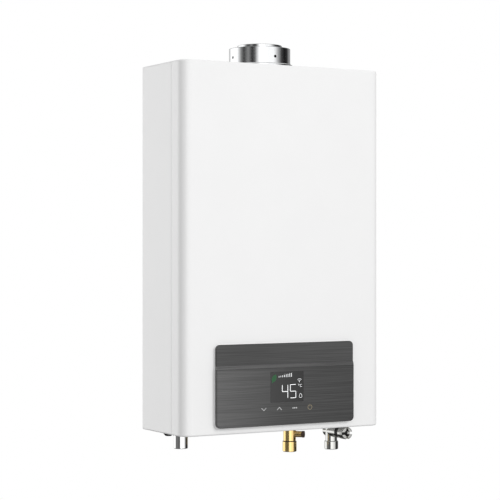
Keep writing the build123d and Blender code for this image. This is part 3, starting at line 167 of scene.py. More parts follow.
def colour(name, description, code):
    """Colour property with its default from a hex value."""
    return FloatVectorProperty(
        name=name, description=description, default=linear(code), size=4, min=0.0, max=1.0, subtype="COLOR")


def length(name, description, default):
    """Length property in metres."""
    return FloatProperty(
        name=name, description=description, default=default, precision=5, subtype="DISTANCE", unit="LENGTH")


class HeaterColours(bpy.types.PropertyGroup):
    """Colours of the finishes."""

    enamel: colour("Enamel", "White powder enamel of the casing", "F2F2F2")
    enamel_shade: colour("Enamel shade", "Slightly thinner areas of the enamel", "EFEFEF")
    # Painted reflection: the panel face is lighter at its left end and darker at its right.
    film_lit_left: colour("Film left", "Brushed panel at its left end", "616161")
    film_shaded_right: colour("Film right", "Brushed panel at its right end", "4F4F4F")
    # Painted light: the darker band runs from darker at the left to lighter at the right, against the fall
    # of its reflection.
    band_shaded_left: colour("Band left", "Upper band of the panel at its left end", "4D4D4D")
    band_lit_right: colour("Band right", "Upper band of the panel at its right end", "575757")
    # The bright-cut bevel's lighter tone is partly its finish and partly a painted highlight.
    film_bevel_highlight: colour("Film bevel", "Bright-cut bevel under the band", "767676")
    # Painted shade along the crease at the foot of the bevel.
    film_crease_shade: colour("Film crease", "Dark line along the foot of the bevel", "404040")
    # Painted reflection: the window is lighter at its left and darker at its right.
    acrylic: colour("Smoked acrylic", "Display window at its left", "282828")
    acrylic_shaded_right: colour("Deep acrylic", "Display window at its right", "0E0E0E")
    figures: colour("Figures", "Lit white figures of the display", "F4F6F7")
    eco_mark: colour("Leaf mark", "Lit green mark of the display", "0D5026")
    prints: colour("Printed marks", "Pale marks of the touch fields", "E6E7E8")
    power: colour("Power mark", "Amber mark of the power field", "A39678")
    chrome: colour("Chrome", "Bright plate on the water fittings", "DDDDDD")
    nickel: colour("Nickel", "Plate on the cold inlet valve", "C1C1BE")
    steel: colour("Polished steel", "Flue collar", "D6D7D8")
    # Painted shade: brown-black on the inner tube inside the collar and in rings round the collar's screw
    # holes.
    painted_shade: colour("Flue stain", "Brown-black stain on the inner tube", "191817")
    # Grey of the collar's bore, darker than the steel as painted shade, and a painted dark reflection along
    # the top edges of the flue tubes.
    rim: colour("Tube rim", "Sheared grey edge of the flue tubes", "7E7F80")
    brass: colour("Brass", "Gas fitting", "EED08E")
    # Brown painted shade in the ring groove and on the test cap of the gas fitting.
    brass_painted_shade: colour("Bronzed brass", "Ring groove and test cap of the gas fitting", "4A382A")
    # Rubber of the seals and cable bush; also black painted shade in the knob's recess.
    rubber: colour("Rubber", "Seals and cable bush", "19191A")
    rubber_grain: colour("Rubber grain", "Raised grain of the rubber", "232324")
    zinc: colour("Zinc plate", "Brackets and sheet-metal works", "B8BBBF")
    weld: colour("Weld", "Weld spots of the brackets", "9A9C9F")
    weld_burn: colour("Weld burn", "Burnt zinc on the weld spots", "7E8083")
    copper: colour("Copper", "Heat exchanger and water pipes", "C87C55")
    copper_tint: colour("Copper tint", "Heat-tinted copper", "8C5140")
    lacquer: colour("Lacquer", "Green lacquer of the circuit boards", "1E5A36")
    track: colour("Track", "Lacquer over the copper tracks", "2F7A4A")
    connector: colour("Connector", "Pale connectors of the controller board", "D8D4C6")
    heat_sink: colour("Heat sink", "Anodised heat sink of the controller board", "26272A")
    paper: colour("Paper", "Pale floor", "F0F0EF")
    paper_shade: colour("Paper shade", "Slightly darker areas of the floor", "EBEBEA")
    paper_bounce: colour("Paper bounce", "Floor as it lights the heater", "BEBEBE")


class DisplaySizes(bpy.types.PropertyGroup):
    """Sizes of the figures and marks on the panel."""

    thickness: length("Thickness", "Thickness of a lit or printed mark", 0.02 * MM)
    digit_width: length("Digit width", "Between the upright strokes of a digit", 9.2 * MM)
    digit_height: length("Digit height", "Between the top and bottom strokes of a digit", 19.0 * MM)
    digit_stroke: length("Digit stroke", "Width of a stroke", 0.72 * MM)
    digit_left: length("Left digit", "Middle of the left digit", -3.4 * MM)
    digit_right: length("Right digit", "Middle of the right digit", 10.0 * MM)
    digit_level: length("Digit level", "Middle height of the digits", -204.9 * MM)
    bar_count: IntProperty(name="Bars", description="Bars of the rising scale", default=8, min=1)
    bar_first: length("First bar", "Middle of the first bar", -13.3 * MM)
    bar_pitch: length("Bar pitch", "Distance between bars", 2.95 * MM)
    bar_width: length("Bar width", "Width of a bar", 0.62 * MM)
    bar_base: length("Bar base", "Foot of the bars", -184.3 * MM)
    bar_low: length("Lowest bar", "Height of the first bar", 1.6 * MM)
    bar_high: length("Highest bar", "Height of the last bar", 5.6 * MM)
    mark_stroke: length("Mark stroke", "Width of a touch mark's stroke", 0.6 * MM)
    fine_stroke: length("Fine stroke", "Width of a small display mark's stroke", 0.36 * MM)
    touch_level: length("Touch level", "Height of the row of touch marks", -228.9 * MM)
    touch_pitch: length("Touch pitch", "Distance between touch marks", 25.6 * MM)
    chevron_width: length("Chevron width", "Width of an arrow mark", 7.6 * MM)
    chevron_height: length("Chevron height", "Height of an arrow mark", 3.8 * MM)
    power_radius: length("Power radius", "Radius of the power ring", 3.35 * MM)


class StageSizes(bpy.types.PropertyGroup):
    """Camera, floor and light."""

    camera_place: FloatVectorProperty(
        name="Camera place", description="Where the camera stands", default=(-1.2272, -2.1816, -0.0027),
        size=3, subtype="TRANSLATION", unit="LENGTH")
    camera_turn: FloatProperty(
        name="Camera turn", description="How far the camera is turned from the heater's front",
        default=math.radians(-29.758), subtype="ANGLE", unit="ROTATION")
    camera_lens: FloatProperty(name="Lens", description="Focal length in millimetres", default=119.85)
    floor_level: length("Floor level", "Height of the floor under the hung heater", -0.75)
    floor_size: length("Floor size", "Side of the square floor", 3.0)
    ambient: FloatProperty(
        name="Ambient", description="Strength of the light from all round", default=0.665)
    key_power: FloatProperty(
        name="Key", description="Power of the front soft box", default=156.0, unit="POWER")
    rim_power: FloatProperty(
        name="Rim", description="Power of the rear soft box", default=56.0, unit="POWER")
    tent_radius: length("Tent radius", "Radius of the screen that the metal reflects", 1.5)
    tent_height: length("Tent height", "Height of the screen that the metal reflects", 2.0)


def colours():
    """Colours as the user has set them."""
    return bpy.context.scene.heater_colours


def sizes():
    """Sizes of the display marks as the user has set them."""
    return bpy.context.scene.heater_display


# Material building

def add_node(tree, kind, inputs=None, feeds=None, **settings):
    """Add a shader node with its settings, and link what feeds it and what it feeds.

    A node among the inputs stands for its first output.
    """
    node = tree.nodes.new("ShaderNode" + kind)
    for name, value in settings.items():
        setattr(node, name, value)
    for name, value in (inputs or {}).items():
        if isinstance(value, bpy.types.Node):
            value = value.outputs[0]
        if isinstance(value, bpy.types.NodeSocket):
            tree.links.new(value, node.inputs[name])
        else:
            node.inputs[name].default_value = value
    for name, socket in (feeds or {}).items():
        tree.links.new(node.outputs[name], socket)
    return node


def grain(size):
    """Scale of a pattern whose marks have this size in millimetres."""
    return 1 / (size * MM)


def shaded(shade, share):
    """The same colour with a share of its light."""
    return [part * share for part in shade[:3]] + [1.0]


def new_material(name, values):
    """Start a material with plain values on the shader's own sockets."""
    material = bpy.data.materials.new(name)
    material.use_nodes = True
    tree = material.node_tree
    shader = tree.nodes["Principled BSDF"]
    for socket, value in values.items():
        shader.inputs[socket].default_value = value
    place = add_node(tree, "TexCoord")
    return material, tree, shader, place.outputs["Object"]


def reopen(material):
    """A started material with its node tree and its Object coordinates."""
    tree = material.node_tree
    return material, tree, tree.nodes["Texture Coordinate"].outputs["Object"]


def clouded(name, values, first, second, size, detail):
    """Start a material whose colour drifts between two tones, in clouds of a real size in millimetres."""
    material, tree, shader, place = new_material(name, values)
    cloud = add_node(tree, "TexNoise", {"Vector": place, "Scale": grain(size), "Detail": detail})
    add_node(tree, "Mix", {0: cloud, FIRST: first, SECOND: second},
             {MIXED: shader.inputs["Base Color"]}, data_type="RGBA")
    return material, tree, shader, place, cloud


def level_lines(tree, place, run, width, detail):
    """Fine level lines with a real run and width in millimetres."""
    stretch = add_node(tree, "Mapping", {"Vector": place, "Scale": (grain(run), grain(run), grain(width))})
    return add_node(tree, "TexNoise", {"Vector": stretch, "Scale": 1.0, "Detail": detail})


def rub(tree, shader, pattern, smooth, dull, strength, depth, low=0.0, high=1.0):
    """Let a pattern spread the roughness between two values and raise a bump of a depth in millimetres."""
    add_node(tree, "MapRange",
             {"Value": pattern, "From Min": low, "From Max": high, "To Min": smooth, "To Max": dull},
             {"Result": shader.inputs["Roughness"]})
    add_node(tree, "Bump", {"Height": pattern, "Strength": strength, "Distance": depth * MM},
             {"Normal": shader.inputs["Normal"]})


def reach_from(tree, place, centre, along):
    """Distance from a centre, measured only along the axes marked 1."""
    local = add_node(tree, "VectorMath", {0: place, 1: centre}, operation="SUBTRACT")
    flat = add_node(tree, "VectorMath", {0: local, 1: along}, operation="MULTIPLY")
    reach = add_node(tree, "VectorMath", {0: flat}, operation="LENGTH")
    return reach.outputs["Value"]


def lay_coat(material, mask, shade):
    """Lay a matt coat over a metal where the mask is 1; many callers use it for painted shade."""
    tree = material.node_tree
    shader = tree.nodes["Principled BSDF"]
    base = shader.inputs["Base Color"]
    bare = base.links[0].from_socket if base.is_linked else tuple(base.default_value)
    add_node(tree, "Mix", {0: mask, FIRST: bare, SECOND: shade}, {MIXED: base}, data_type="RGBA")
    shine = shader.inputs["Metallic"]
    bright = shine.links[0].from_socket if shine.is_linked else shine.default_value
    add_node(tree, "Math", {0: bright, 1: mask}, {"Value": shine}, operation="SUBTRACT", use_clamp=True)
    dull = add_node(tree, "Math", {0: mask, 1: COAT_ROUGHNESS}, operation="MULTIPLY")
    rough = shader.inputs["Roughness"]
    add_node(tree, "Math", {0: rough.links[0].from_socket, 1: dull}, {"Value": rough}, operation="MAXIMUM")
    return material


# Materials

def powder_enamel():
    """Polyester powder coat, sprayed and baked on sheet steel: even white with a faint orange peel."""
    tones = colours()
    material, tree, shader, place, _ = clouded(
        "powder enamel", {"Roughness": 0.3, "IOR": 1.5}, tones.enamel, tones.enamel_shade, 70, 2.0)
    # Peel cells are about 1.5 mm and are drawn at 2.5 mm so that they show.
    peel = add_node(tree, "TexNoise", {"Vector": place, "Scale": grain(2.5), "Detail": 1.0})
    add_node(tree, "Bump", {"Height": peel, "Strength": 0.06, "Distance": 0.1 * MM},
             {"Normal": shader.inputs["Normal"]})
    return material


def brushed_film():
    """Dark brushed metal film on a white moulding: level hairlines, a face and a darker band above with
    painted reflection graded across them, a bright-cut bevel with a painted highlight, and a painted shade
    line at the bevel's foot.
    """
    tones = colours()
    material, tree, shader, place = new_material(
        "dark brushed film", {"Metallic": 0.92, "Anisotropic": 0.35})
    axes = add_node(tree, "SeparateXYZ", {"Vector": place})
    # Painted reflection: the face runs from lighter at the left to darker at the right.
    across = add_node(tree, "MapRange",
                      {"Value": axes.outputs["X"], "From Min": panel_low.x, "From Max": 0.0})
    face = add_node(tree, "Mix", {0: across, FIRST: tones.film_lit_left, SECOND: tones.film_shaded_right},
                    data_type="RGBA")
    # Painted light: the band is darker at the left and lighter at the right, against the fall of its
    # reflection.
    along = add_node(tree, "MapRange",
                     {"Value": axes.outputs["X"], "From Min": panel_low.x / 3, "From Max": panel_high.x})
    strip = add_node(tree, "Mix", {0: along, FIRST: tones.band_shaded_left, SECOND: tones.band_lit_right},
                     data_type="RGBA")
    # The bevel is bright-cut, and its lighter tone is partly a painted highlight.
    upper = add_node(tree, "Math", {0: axes.outputs["Z"], 1: BEVEL_FOOT}, operation="GREATER_THAN")
    above = add_node(tree, "Math", {0: axes.outputs["Z"], 1: BAND_FOOT}, operation="GREATER_THAN")
    # Painted shade: a dark line along the crease at the foot of the bevel.
    line = add_node(tree, "Math", {0: axes.outputs["Z"], 1: BEVEL_FOOT - CREASE_SHADE_HALF, 2: CREASE_SHADE_HALF},
                    operation="COMPARE")
    film = face.outputs[MIXED]
    for mask, tone in ((upper, tones.film_bevel_highlight), (above, strip.outputs[MIXED]), (line, tones.film_crease_shade)):
        layer = add_node(tree, "Mix", {0: mask, FIRST: film, SECOND: tone}, data_type="RGBA")
        film = layer.outputs[MIXED]
    # Hairlines are about 0.2 mm wide and are drawn at 1 mm so that they show.
    hair = level_lines(tree, place, 90, 1.0, 3.0)
    shade = add_node(tree, "MapRange",
                     {"Value": hair, "From Min": 0.3, "From Max": 0.7, "To Min": 0.76, "To Max": 1.24})
    add_node(tree, "VectorMath", {0: film, "Scale": shade},
             {"Vector": shader.inputs["Base Color"]}, operation="SCALE")
    rub(tree, shader, hair, smooth=0.32, dull=0.42, strength=0.12, depth=0.05, low=0.3, high=0.7)
    # The film wraps the sides and stops short of the casing, where the moulding shows white.
    seat = add_node(tree, "Math", {0: axes.outputs["Y"], 1: panel_low.y + FILM_WRAP},
                    operation="GREATER_THAN")
    return lay_coat(material, seat, tones.enamel)


def smoked_acrylic():
    """Smoked PMMA window, polished: dark with a clear reflection, a painted reflection that darkens from
    left to right, and a trace of dust.
    """
    tones = colours()
    material, tree, shader, place = new_material("smoked acrylic", {"IOR": 1.49})
    axes = add_node(tree, "SeparateXYZ", {"Vector": place})
    # Painted reflection: the window is lighter at the left and darker at the right.
    across = add_node(tree, "MapRange",
                      {"Value": axes.outputs["X"], "From Min": lens_low.x, "From Max": lens_high.x})
    add_node(tree, "Mix", {0: across, FIRST: tones.acrylic, SECOND: tones.acrylic_shaded_right},
             {MIXED: shader.inputs["Base Color"]}, data_type="RGBA")
    dust = add_node(tree, "TexNoise", {"Vector": place, "Scale": grain(9), "Detail": 4.0})
    add_node(tree, "MapRange", {"Value": dust, "To Min": 0.1, "To Max": 0.2},
             {"Result": shader.inputs["Roughness"]})
    return material


def lit_figure(name, shade, strength):
    """Segment of a lit display: even glow with a little unevenness of the lamp behind it."""
    values = {"Roughness": 0.35, "Emission Color": shade, "Emission Strength": strength}
    return clouded(name, values, shaded(shade, 0.88), shade, 6, 1.0)[0]


def screen_print(name, shade):
    """Screen-printed ink on the panel: flat and slightly mottled by the mesh."""
    return clouded(name, {"Roughness": 0.5}, shaded(shade, 0.8), shade, 0.8, 1.0)[0]


def plated(name, shade, smooth, dull):
    """Plated metal with faint waves left by the polishing wheel, between two roughnesses."""
    material, tree, shader, place = new_material(name, {"Base Color": shade, "Metallic": 1.0})
    haze = add_node(tree, "TexNoise", {"Vector": place, "Scale": grain(5), "Detail": 3.0})
    rub(tree, shader, haze, smooth, dull, strength=0.03, depth=0.1)
    return material


def chrome_plate():
    """Bright chrome plate on turned brass: a mirror with sharp light and dark bands."""
    return plated("chrome plate", colours().chrome, 0.02, 0.06)


def nickel_plate(name):
    """Nickel plate on cast brass: warmer and greyer than chrome, with softer bands."""
    return plated(name, colours().nickel, 0.1, 0.2)


def knob_plate_recess_shade():
    """Nickel plate on the knob, with black painted shade in the middle of its recess."""
    material, tree, place = reopen(nickel_plate("nickel plate with black recess"))
    reach = reach_from(tree, place, (knob_low + knob_high) / 2, (1.0, 0.0, 1.0))
    hub = add_node(tree, "Math", {0: reach, 1: RECESS_RADIUS}, operation="LESS_THAN")
    axes = add_node(tree, "SeparateXYZ", {"Vector": place})
    deep = add_node(tree, "Math", {0: axes.outputs["Y"], 1: knob_low.y + RECESS_LIP},
                    operation="GREATER_THAN")
    # Painted shade: black deep in the recess.
    black = add_node(tree, "Math", {0: hub, 1: deep}, operation="MULTIPLY")
    return lay_coat(material, black, colours().rubber)


def polished_steel(name):
    """Polished stainless tube: a bright mirror with fine rings left by the polishing belt."""
    material, tree, shader, place = new_material(
        name, {"Base Color": colours().steel, "Metallic": 1.0, "Specular IOR Level": 0.15})
    # Belt marks are about 0.1 mm apart and are drawn at 0.8 mm so that they show.
    belt = level_lines(tree, place, 60, 0.8, 2.0)
    rub(tree, shader, belt, smooth=0.08, dull=0.2, strength=0.04, depth=0.05)
    return material


def rim_reflection_line(material, top):
    """Grey line along the top of a polished tube: a painted dark reflection of its edge."""
    material, tree, place = reopen(material)
    axes = add_node(tree, "SeparateXYZ", {"Vector": place})
    # Painted dark reflection along the top edge.
    edge = add_node(tree, "Math", {0: axes.outputs["Z"], 1: top - RIM_REFLECTION_LINE}, operation="GREATER_THAN")
    return lay_coat(material, edge, colours().rim)


def collar_steel():
    """Polished collar, matt grey inside and darkened there as painted shade, with dark rings of painted
    shade round its punched screw holes and a painted dark reflection along its top edge.
    """
    material, tree, place = reopen(polished_steel("polished stainless steel"))
    axis = (collar_low + collar_high) / 2
    centre = (axis.x, axis.y, pan_high.z + PIPE_SCREW_RISE)
    spread = reach_from(tree, place, centre, (1.0, 1.0, 0.0))
    # Matt grey inside the collar, darker than the steel as painted shade.
    bore = add_node(tree, "Math", {0: spread, 1: COLLAR_BORE}, operation="LESS_THAN")
    lay_coat(material, bore, colours().rim)
    # The holes stand at the front, the back and both sides.
    local = add_node(tree, "VectorMath", {0: place, 1: centre}, operation="SUBTRACT")
    axes = add_node(tree, "SeparateXYZ", {"Vector": local})
    side = add_node(tree, "Math", {0: axes.outputs["X"]}, operation="ABSOLUTE")
    front = add_node(tree, "Math", {0: axes.outputs["Y"]}, operation="ABSOLUTE")
    near = add_node(tree, "Math", {0: side, 1: front}, operation="MINIMUM")
    flat = add_node(tree, "CombineXYZ", {"X": near, "Z": axes.outputs["Z"]})
    reach = add_node(tree, "VectorMath", {0: flat}, operation="LENGTH")
    # Painted shade: dark rings round the screw holes.
    edge = add_node(tree, "Math", {0: reach.outputs["Value"], 1: PIPE_SCREW_SHADE}, operation="LESS_THAN")
    lay_coat(material, edge, colours().painted_shade)
    return rim_reflection_line(material, collar_high.z)


def flue_steel_painted_shade():
    """Polished inner tube with brown-black painted shade inside the collar and in a thin line just above
    the collar's rim, and a painted dark reflection along its top edge.
    """
    material, tree, place = reopen(polished_steel("flue steel with painted shade"))
    axes = add_node(tree, "SeparateXYZ", {"Vector": place})
    # Painted shade: brown-black below a line just above the collar's top.
    low = add_node(tree, "Math", {0: axes.outputs["Z"], 1: collar_high.z + FLUE_SHADE_TOP},
                   operation="LESS_THAN")
    lay_coat(material, low, colours().painted_shade)
    return rim_reflection_line(material, spigot_high.z)


def turned_brass(name="turned brass"):
    """Free-cutting brass from the lathe: warm yellow with fine tool rings."""
    material, tree, shader, place = new_material(name, {"Metallic": 1.0})
    # Tool rings are about 0.15 mm apart and are drawn at 0.7 mm so that they show.
    rings = level_lines(tree, place, 40, 0.7, 2.0)
    add_node(tree, "Mix", {0: rings, FIRST: shaded(colours().brass, 0.82), SECOND: colours().brass},
             {MIXED: shader.inputs["Base Color"]}, data_type="RGBA")
    rub(tree, shader, rings, smooth=0.12, dull=0.24, strength=0.06, depth=0.05)
    return material


def gas_brass():
    """Turned brass gas fitting, with brown painted shade in its ring groove and on the cap of its test
    nipple.
    """
    material, tree, place = reopen(turned_brass("turned brass with shaded cap"))
    axes = add_node(tree, "SeparateXYZ", {"Vector": place})
    level = pan_low.z - GAS_GROOVE_DROP
    # Painted shade: brown in the ring groove and on the test cap.
    groove = add_node(tree, "Math", {0: axes.outputs["Z"], 1: level, 2: GAS_GROOVE_HALF},
                      operation="COMPARE")
    axis = (gas_low.x + GAS_THREAD_RADIUS, gas_high.y - GAS_THREAD_RADIUS, level)
    reach = reach_from(tree, place, axis, (1.0, 1.0, 0.0))
    cap = add_node(tree, "Math", {0: reach, 1: TEST_CAP_REACH}, operation="GREATER_THAN")
    brown = add_node(tree, "Math", {0: groove, 1: cap}, operation="MAXIMUM")
    return lay_coat(material, brown, colours().brass_painted_shade)


def speckled(name, base, other, size, values, height):
    """Plain finish, two close tones and a fine bump, whose grain has a size and a height in millimetres."""
    material, tree, shader, _, grit = clouded(name, values, base, other, size, 3.0)
    add_node(tree, "Bump", {"Height": grit, "Strength": 0.25, "Distance": height * MM},
             {"Normal": shader.inputs["Normal"]})
    return material


def moulded_rubber():
    """EPDM rubber from an etched mould: near black, soft sheen, fine grain."""
    tones = colours()
    return speckled("moulded rubber", tones.rubber, tones.rubber_grain, 0.6, {"Roughness": 0.6}, 0.05)


def zinc_plate():
    """Hot-dip zinc on sheet steel: grey with a spangle of flat crystals about 7 mm across."""
    material, tree, shader, place = new_material("zinc-coated steel", {"Metallic": 1.0})
    spangle = add_node(tree, "TexVoronoi", {"Vector": place, "Scale": grain(7)})
    shade = add_node(tree, "SeparateColor", {"Color": spangle.outputs["Color"]})
    add_node(tree, "Mix",
             {0: shade.outputs["Red"], FIRST: shaded(colours().zinc, 0.8), SECOND: colours().zinc},
             {MIXED: shader.inputs["Base Color"]}, data_type="RGBA")
    add_node(tree, "MapRange", {"Value": shade.outputs["Green"], "To Min": 0.3, "To Max": 0.45},
             {"Result": shader.inputs["Roughness"]})
    return material


def copper_sheet():
    """Drawn copper with a brown heat tint in clouds about 30 mm across."""
    values = {"Metallic": 1.0, "Roughness": 0.28}
    return clouded("copper", values, colours().copper, colours().copper_tint, 30, 4.0)[0]


def circuit_laminate(name="circuit laminate"):
    """Lacquered glass laminate with copper tracks under the green lacquer."""
    material, tree, shader, place = new_material(name, {"Roughness": 0.35, "IOR": 1.5})
    tracks = add_node(tree, "TexVoronoi", {"Vector": place, "Scale": grain(5)},
                      feature="F1", distance="MANHATTAN")
    edge = add_node(tree, "Math", {0: tracks.outputs["Distance"], 1: TRACK_EDGE}, operation="GREATER_THAN")
    add_node(tree, "Mix", {0: edge, FIRST: colours().lacquer, SECOND: colours().track},
             {MIXED: shader.inputs["Base Color"]}, data_type="RGBA")
    return material


def loaded_laminate():
    """Controller board: green laminate with a black anodised heat sink above and pale connectors below."""
    material, tree, place = reopen(circuit_laminate("circuit laminate with parts"))
    base = tree.nodes["Principled BSDF"].inputs["Base Color"]
    green = base.links[0].from_socket
    axes = add_node(tree, "SeparateXYZ", {"Vector": place})
    upper = add_node(tree, "Math", {0: axes.outputs["Z"], 1: (board_low.z + board_high.z) / 2},
                     operation="GREATER_THAN")
    parts = add_node(tree, "Mix", {0: upper, FIRST: colours().connector, SECOND: colours().heat_sink},
                     data_type="RGBA")
    proud = add_node(tree, "Math", {0: axes.outputs["Y"], 1: board_high.y - LAMINATE},
                     operation="LESS_THAN")
    add_node(tree, "Mix", {0: proud, FIRST: green, SECOND: parts.outputs[MIXED]},
             {MIXED: base}, data_type="RGBA")
    return material


def finish_for(slot):
    """Material for a slot of the record, made once."""
    makers = {
        "white_enamel": powder_enamel,
        "dark_fascia": brushed_film,
        "smoked_window": smoked_acrylic,
        "polished_collar": collar_steel,
        "chrome_plate": chrome_plate,
        "brass": turned_brass,
        "black_rubber": moulded_rubber,
        "zinc_steel": zinc_plate,
        "copper": copper_sheet,
        "circuit_board": circuit_laminate,
    }
    # Name, two tones, grain in mm, metallic, roughness and height of the grain in mm
    plain = {
        "display_black": ("black display glass", "0E0F11", "141517", 2.0, 0.0, 0.25, 0.01),
        "stainless_steel": ("stainless steel", "C6C5C2", "B4B3B0", 1.2, 1.0, 0.28, 0.02),
        "cast_aluminium": ("die-cast aluminium", "B6B8BA", "A2A4A6", 0.8, 1.0, 0.45, 0.08),
        "plunger_iron": ("soft iron", "77787A", "66676A", 1.0, 1.0, 0.38, 0.02),
        "motor_shell": ("lacquered motor shell", "2A2B2E", "222326", 0.9, 0.0, 0.4, 0.04),
        "black_plastic": ("moulded ABS", "1F2022", "191A1C", 0.5, 0.0, 0.52, 0.04),
        "pale_plastic": ("natural nylon", "DCD8CA", "D2CDBD", 1.5, 0.0, 0.45, 0.03),
        "white_ceramic": ("fired alumina", "EBE6DC", "E0DACE", 0.4, 0.0, 0.32, 0.02),
    }
    if slot in makers:
        return makers[slot]()
    name, base, other, size, metallic, rough, height = plain[slot]
    values = {"Metallic": metallic, "Roughness": rough}
    return speckled(name, linear(base), linear(other), size, values, height)


def dress_node(node, material):
    """Give a CAD node its material."""
    for place in frame["nodes"][node].material_slots:
        place.material = material


def dress(slots):
    """Give every CAD node of the named slots its material."""
    for slot in slots:
        material = finish_for(slot)
        for part in frame["record"]["subparts"]:
            if part["material_slot"] == slot:
                dress_node(part["node"], material)


# Flat marks on the panel, drawn on X and Z and facing the front

def facing(x, z, turn=0.0):
    """Matrix that stands a flat shape on the panel face, turned clockwise seen from the front."""
    place = Matrix.Translation((x, lens_low.y, z))
    return place @ Matrix.Rotation(turn, 4, "Y") @ Matrix.Rotation(math.pi / 2, 4, "X")


def upright_edge(bm, shape, low, high):
    """Edge between two heights on the middle line of a flat shape."""
    return bm.edges.new([bm.verts.new(shape @ Vector((0.0, level, 0.0))) for level in (low, high)])


def flat_bar(bm, x, z, width, height, chamfer=0.0):
    """Straight stroke with its corners cut."""
    shape = facing(x, z) @ Matrix.Diagonal((width, height, 1.0, 1.0))
    made = bmesh.ops.create_grid(bm, x_segments=1, y_segments=1, size=0.5, matrix=shape)
    if chamfer:
        bmesh.ops.bevel(bm, geom=made["verts"], offset=chamfer, affect="VERTICES", segments=1, profile=0.5,
                        material=-1)


def flat_arc(bm, x, z, radius, stroke, start, sweep, steps):
    """Arc of a stroke about a centre, from an angle clockwise from the top; gives its end edges."""
    edge = upright_edge(bm, facing(x, z, start), radius - stroke / 2, radius + stroke / 2)
    made = bmesh.ops.spin(bm, geom=[*edge.verts, edge], cent=(x, lens_low.y, z), axis=(0.0, 1.0, 0.0),
                          angle=sweep, steps=steps, use_merge=sweep >= 2 * math.pi)
    return [edge] + [item for item in made["geom_last"] if isinstance(item, bmesh.types.BMEdge)]


def flat_drop(bm, x, z, radius, stroke, opening):
    """Outline of a drop: an open ring whose two ends run straight on to one tip."""
    ends = flat_arc(bm, x, z, radius, stroke, opening, 2 * (math.pi - opening), steps=20)
    rise = radius / math.cos(opening)
    half = stroke / (2 * math.cos(opening))
    tip = upright_edge(bm, facing(x, z), rise - half, rise + half)
    for end in ends:
        bmesh.ops.contextual_create(bm, geom=[end, tip])


def flat_chevron(bm, x, z, width, height, stroke, way):
    """Arrow mark as one bent stroke: an upright edge is drawn to the tip and on to the far end."""
    half = stroke * math.hypot(width / 2, height) / width
    edge = upright_edge(bm, facing(x - width / 2, z + way * height / 2), -half, half)
    for step in (-way, way):
        made = bmesh.ops.extrude_edge_only(bm, edges=[edge])
        ends = [item for item in made["geom"] if isinstance(item, bmesh.types.BMVert)]
        bmesh.ops.translate(bm, verts=ends, vec=(width / 2, 0.0, step * height))
        edge = bm.edges.get(ends)


def flat_oval(bm, x, z, width, height, turn=0.0):
    """Filled round or oval mark; gives its shape and its vertices."""
    shape = facing(x, z, turn) @ Matrix.Diagonal((width, height, 1.0, 1.0))
    made = bmesh.ops.create_circle(bm, cap_ends=True, segments=ROUND_SEGMENTS, radius=0.5, matrix=shape)
    return shape, made["verts"]


def flat_leaf(bm, x, z, width, height, turn):
    """Filled oval with its top drawn out to a point and its foot to a stalk."""
    shape, verts = flat_oval(bm, x, z, width, height, turn)
    for way, draw in ((0.5, LEAF_POINT), (-0.5, LEAF_STALK)):
        end = shape @ Vector((0.0, way, 0.0))
        tip = min(verts, key=lambda vert: (vert.co - end).length)
        bmesh.ops.translate(bm, verts=[tip], vec=(end - shape.translation) * draw)


def make_object(bm, name, *materials):
    """Make an object from a bmesh, with its place in its mesh."""
    mesh = bpy.data.meshes.new(name)
    bm.to_mesh(mesh)
    bm.free()
    for material in materials:
        mesh.materials.append(material)
    piece = bpy.data.objects.new(name, mesh)
    bpy.context.scene.collection.objects.link(piece)
    return piece


def finish_piece(bm, name, material):
    """Make a piece that rides with the casing."""
    piece = make_object(bm, name, material)
    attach(piece, "casing")


def finish_marks(bm, name, material):
    """Turn flat marks into a thin piece on the panel."""
    bmesh.ops.remove_doubles(bm, verts=bm.verts, dist=0.001 * MM)
    made = bmesh.ops.extrude_face_region(bm, geom=bm.faces[:], use_keep_orig=True)
    front = [item for item in made["geom"] if isinstance(item, bmesh.types.BMVert)]
    bmesh.ops.translate(bm, verts=front, vec=(0.0, -sizes().thickness, 0.0))
    bmesh.ops.recalc_face_normals(bm, faces=bm.faces)
    finish_piece(bm, name, material)


def add_digit(bm, x, strokes):
    """Seven-stroke digit from the names of its lit strokes."""
    half_x = sizes().digit_width / 2
    half_z = sizes().digit_height / 2
    stroke = sizes().digit_stroke
    level = sizes().digit_level
    gap = stroke * DIGIT_GAP
    across = sizes().digit_width - 2 * gap
    up = half_z - 2 * gap
    places = {
        "top": (x, level + half_z, across, stroke),
        "middle": (x, level, across, stroke),
        "bottom": (x, level - half_z, across, stroke),
        "upper left": (x - half_x, level + half_z / 2, stroke, up),
        "upper right": (x + half_x, level + half_z / 2, stroke, up),
        "lower left": (x - half_x, level - half_z / 2, stroke, up),
        "lower right": (x + half_x, level - half_z / 2, stroke, up),
    }
    for name in strokes:
        flat_bar(bm, *places[name], chamfer=stroke * DIGIT_MITRE)


class HEATER_OT_dress_casing(bpy.types.Operator):
    """Enamel the pan and the cover, and finish the brackets and screws."""

    bl_idname = "heater.dress_casing"
    bl_label = "Dress casing"

    def execute(self, context):
        dress(["white_enamel", "zinc_steel", "stainless_steel", "black_rubber"])
        return {"FINISHED"}


class HEATER_OT_dress_panel(bpy.types.Operator):
    """Finish the brushed panel, its window and the boards behind them."""

    bl_idname = "heater.dress_panel"
    bl_label = "Dress control panel"

    def execute(self, context):
        dress(["dark_fascia", "smoked_window", "display_black", "circuit_board"])
        return {"FINISHED"}


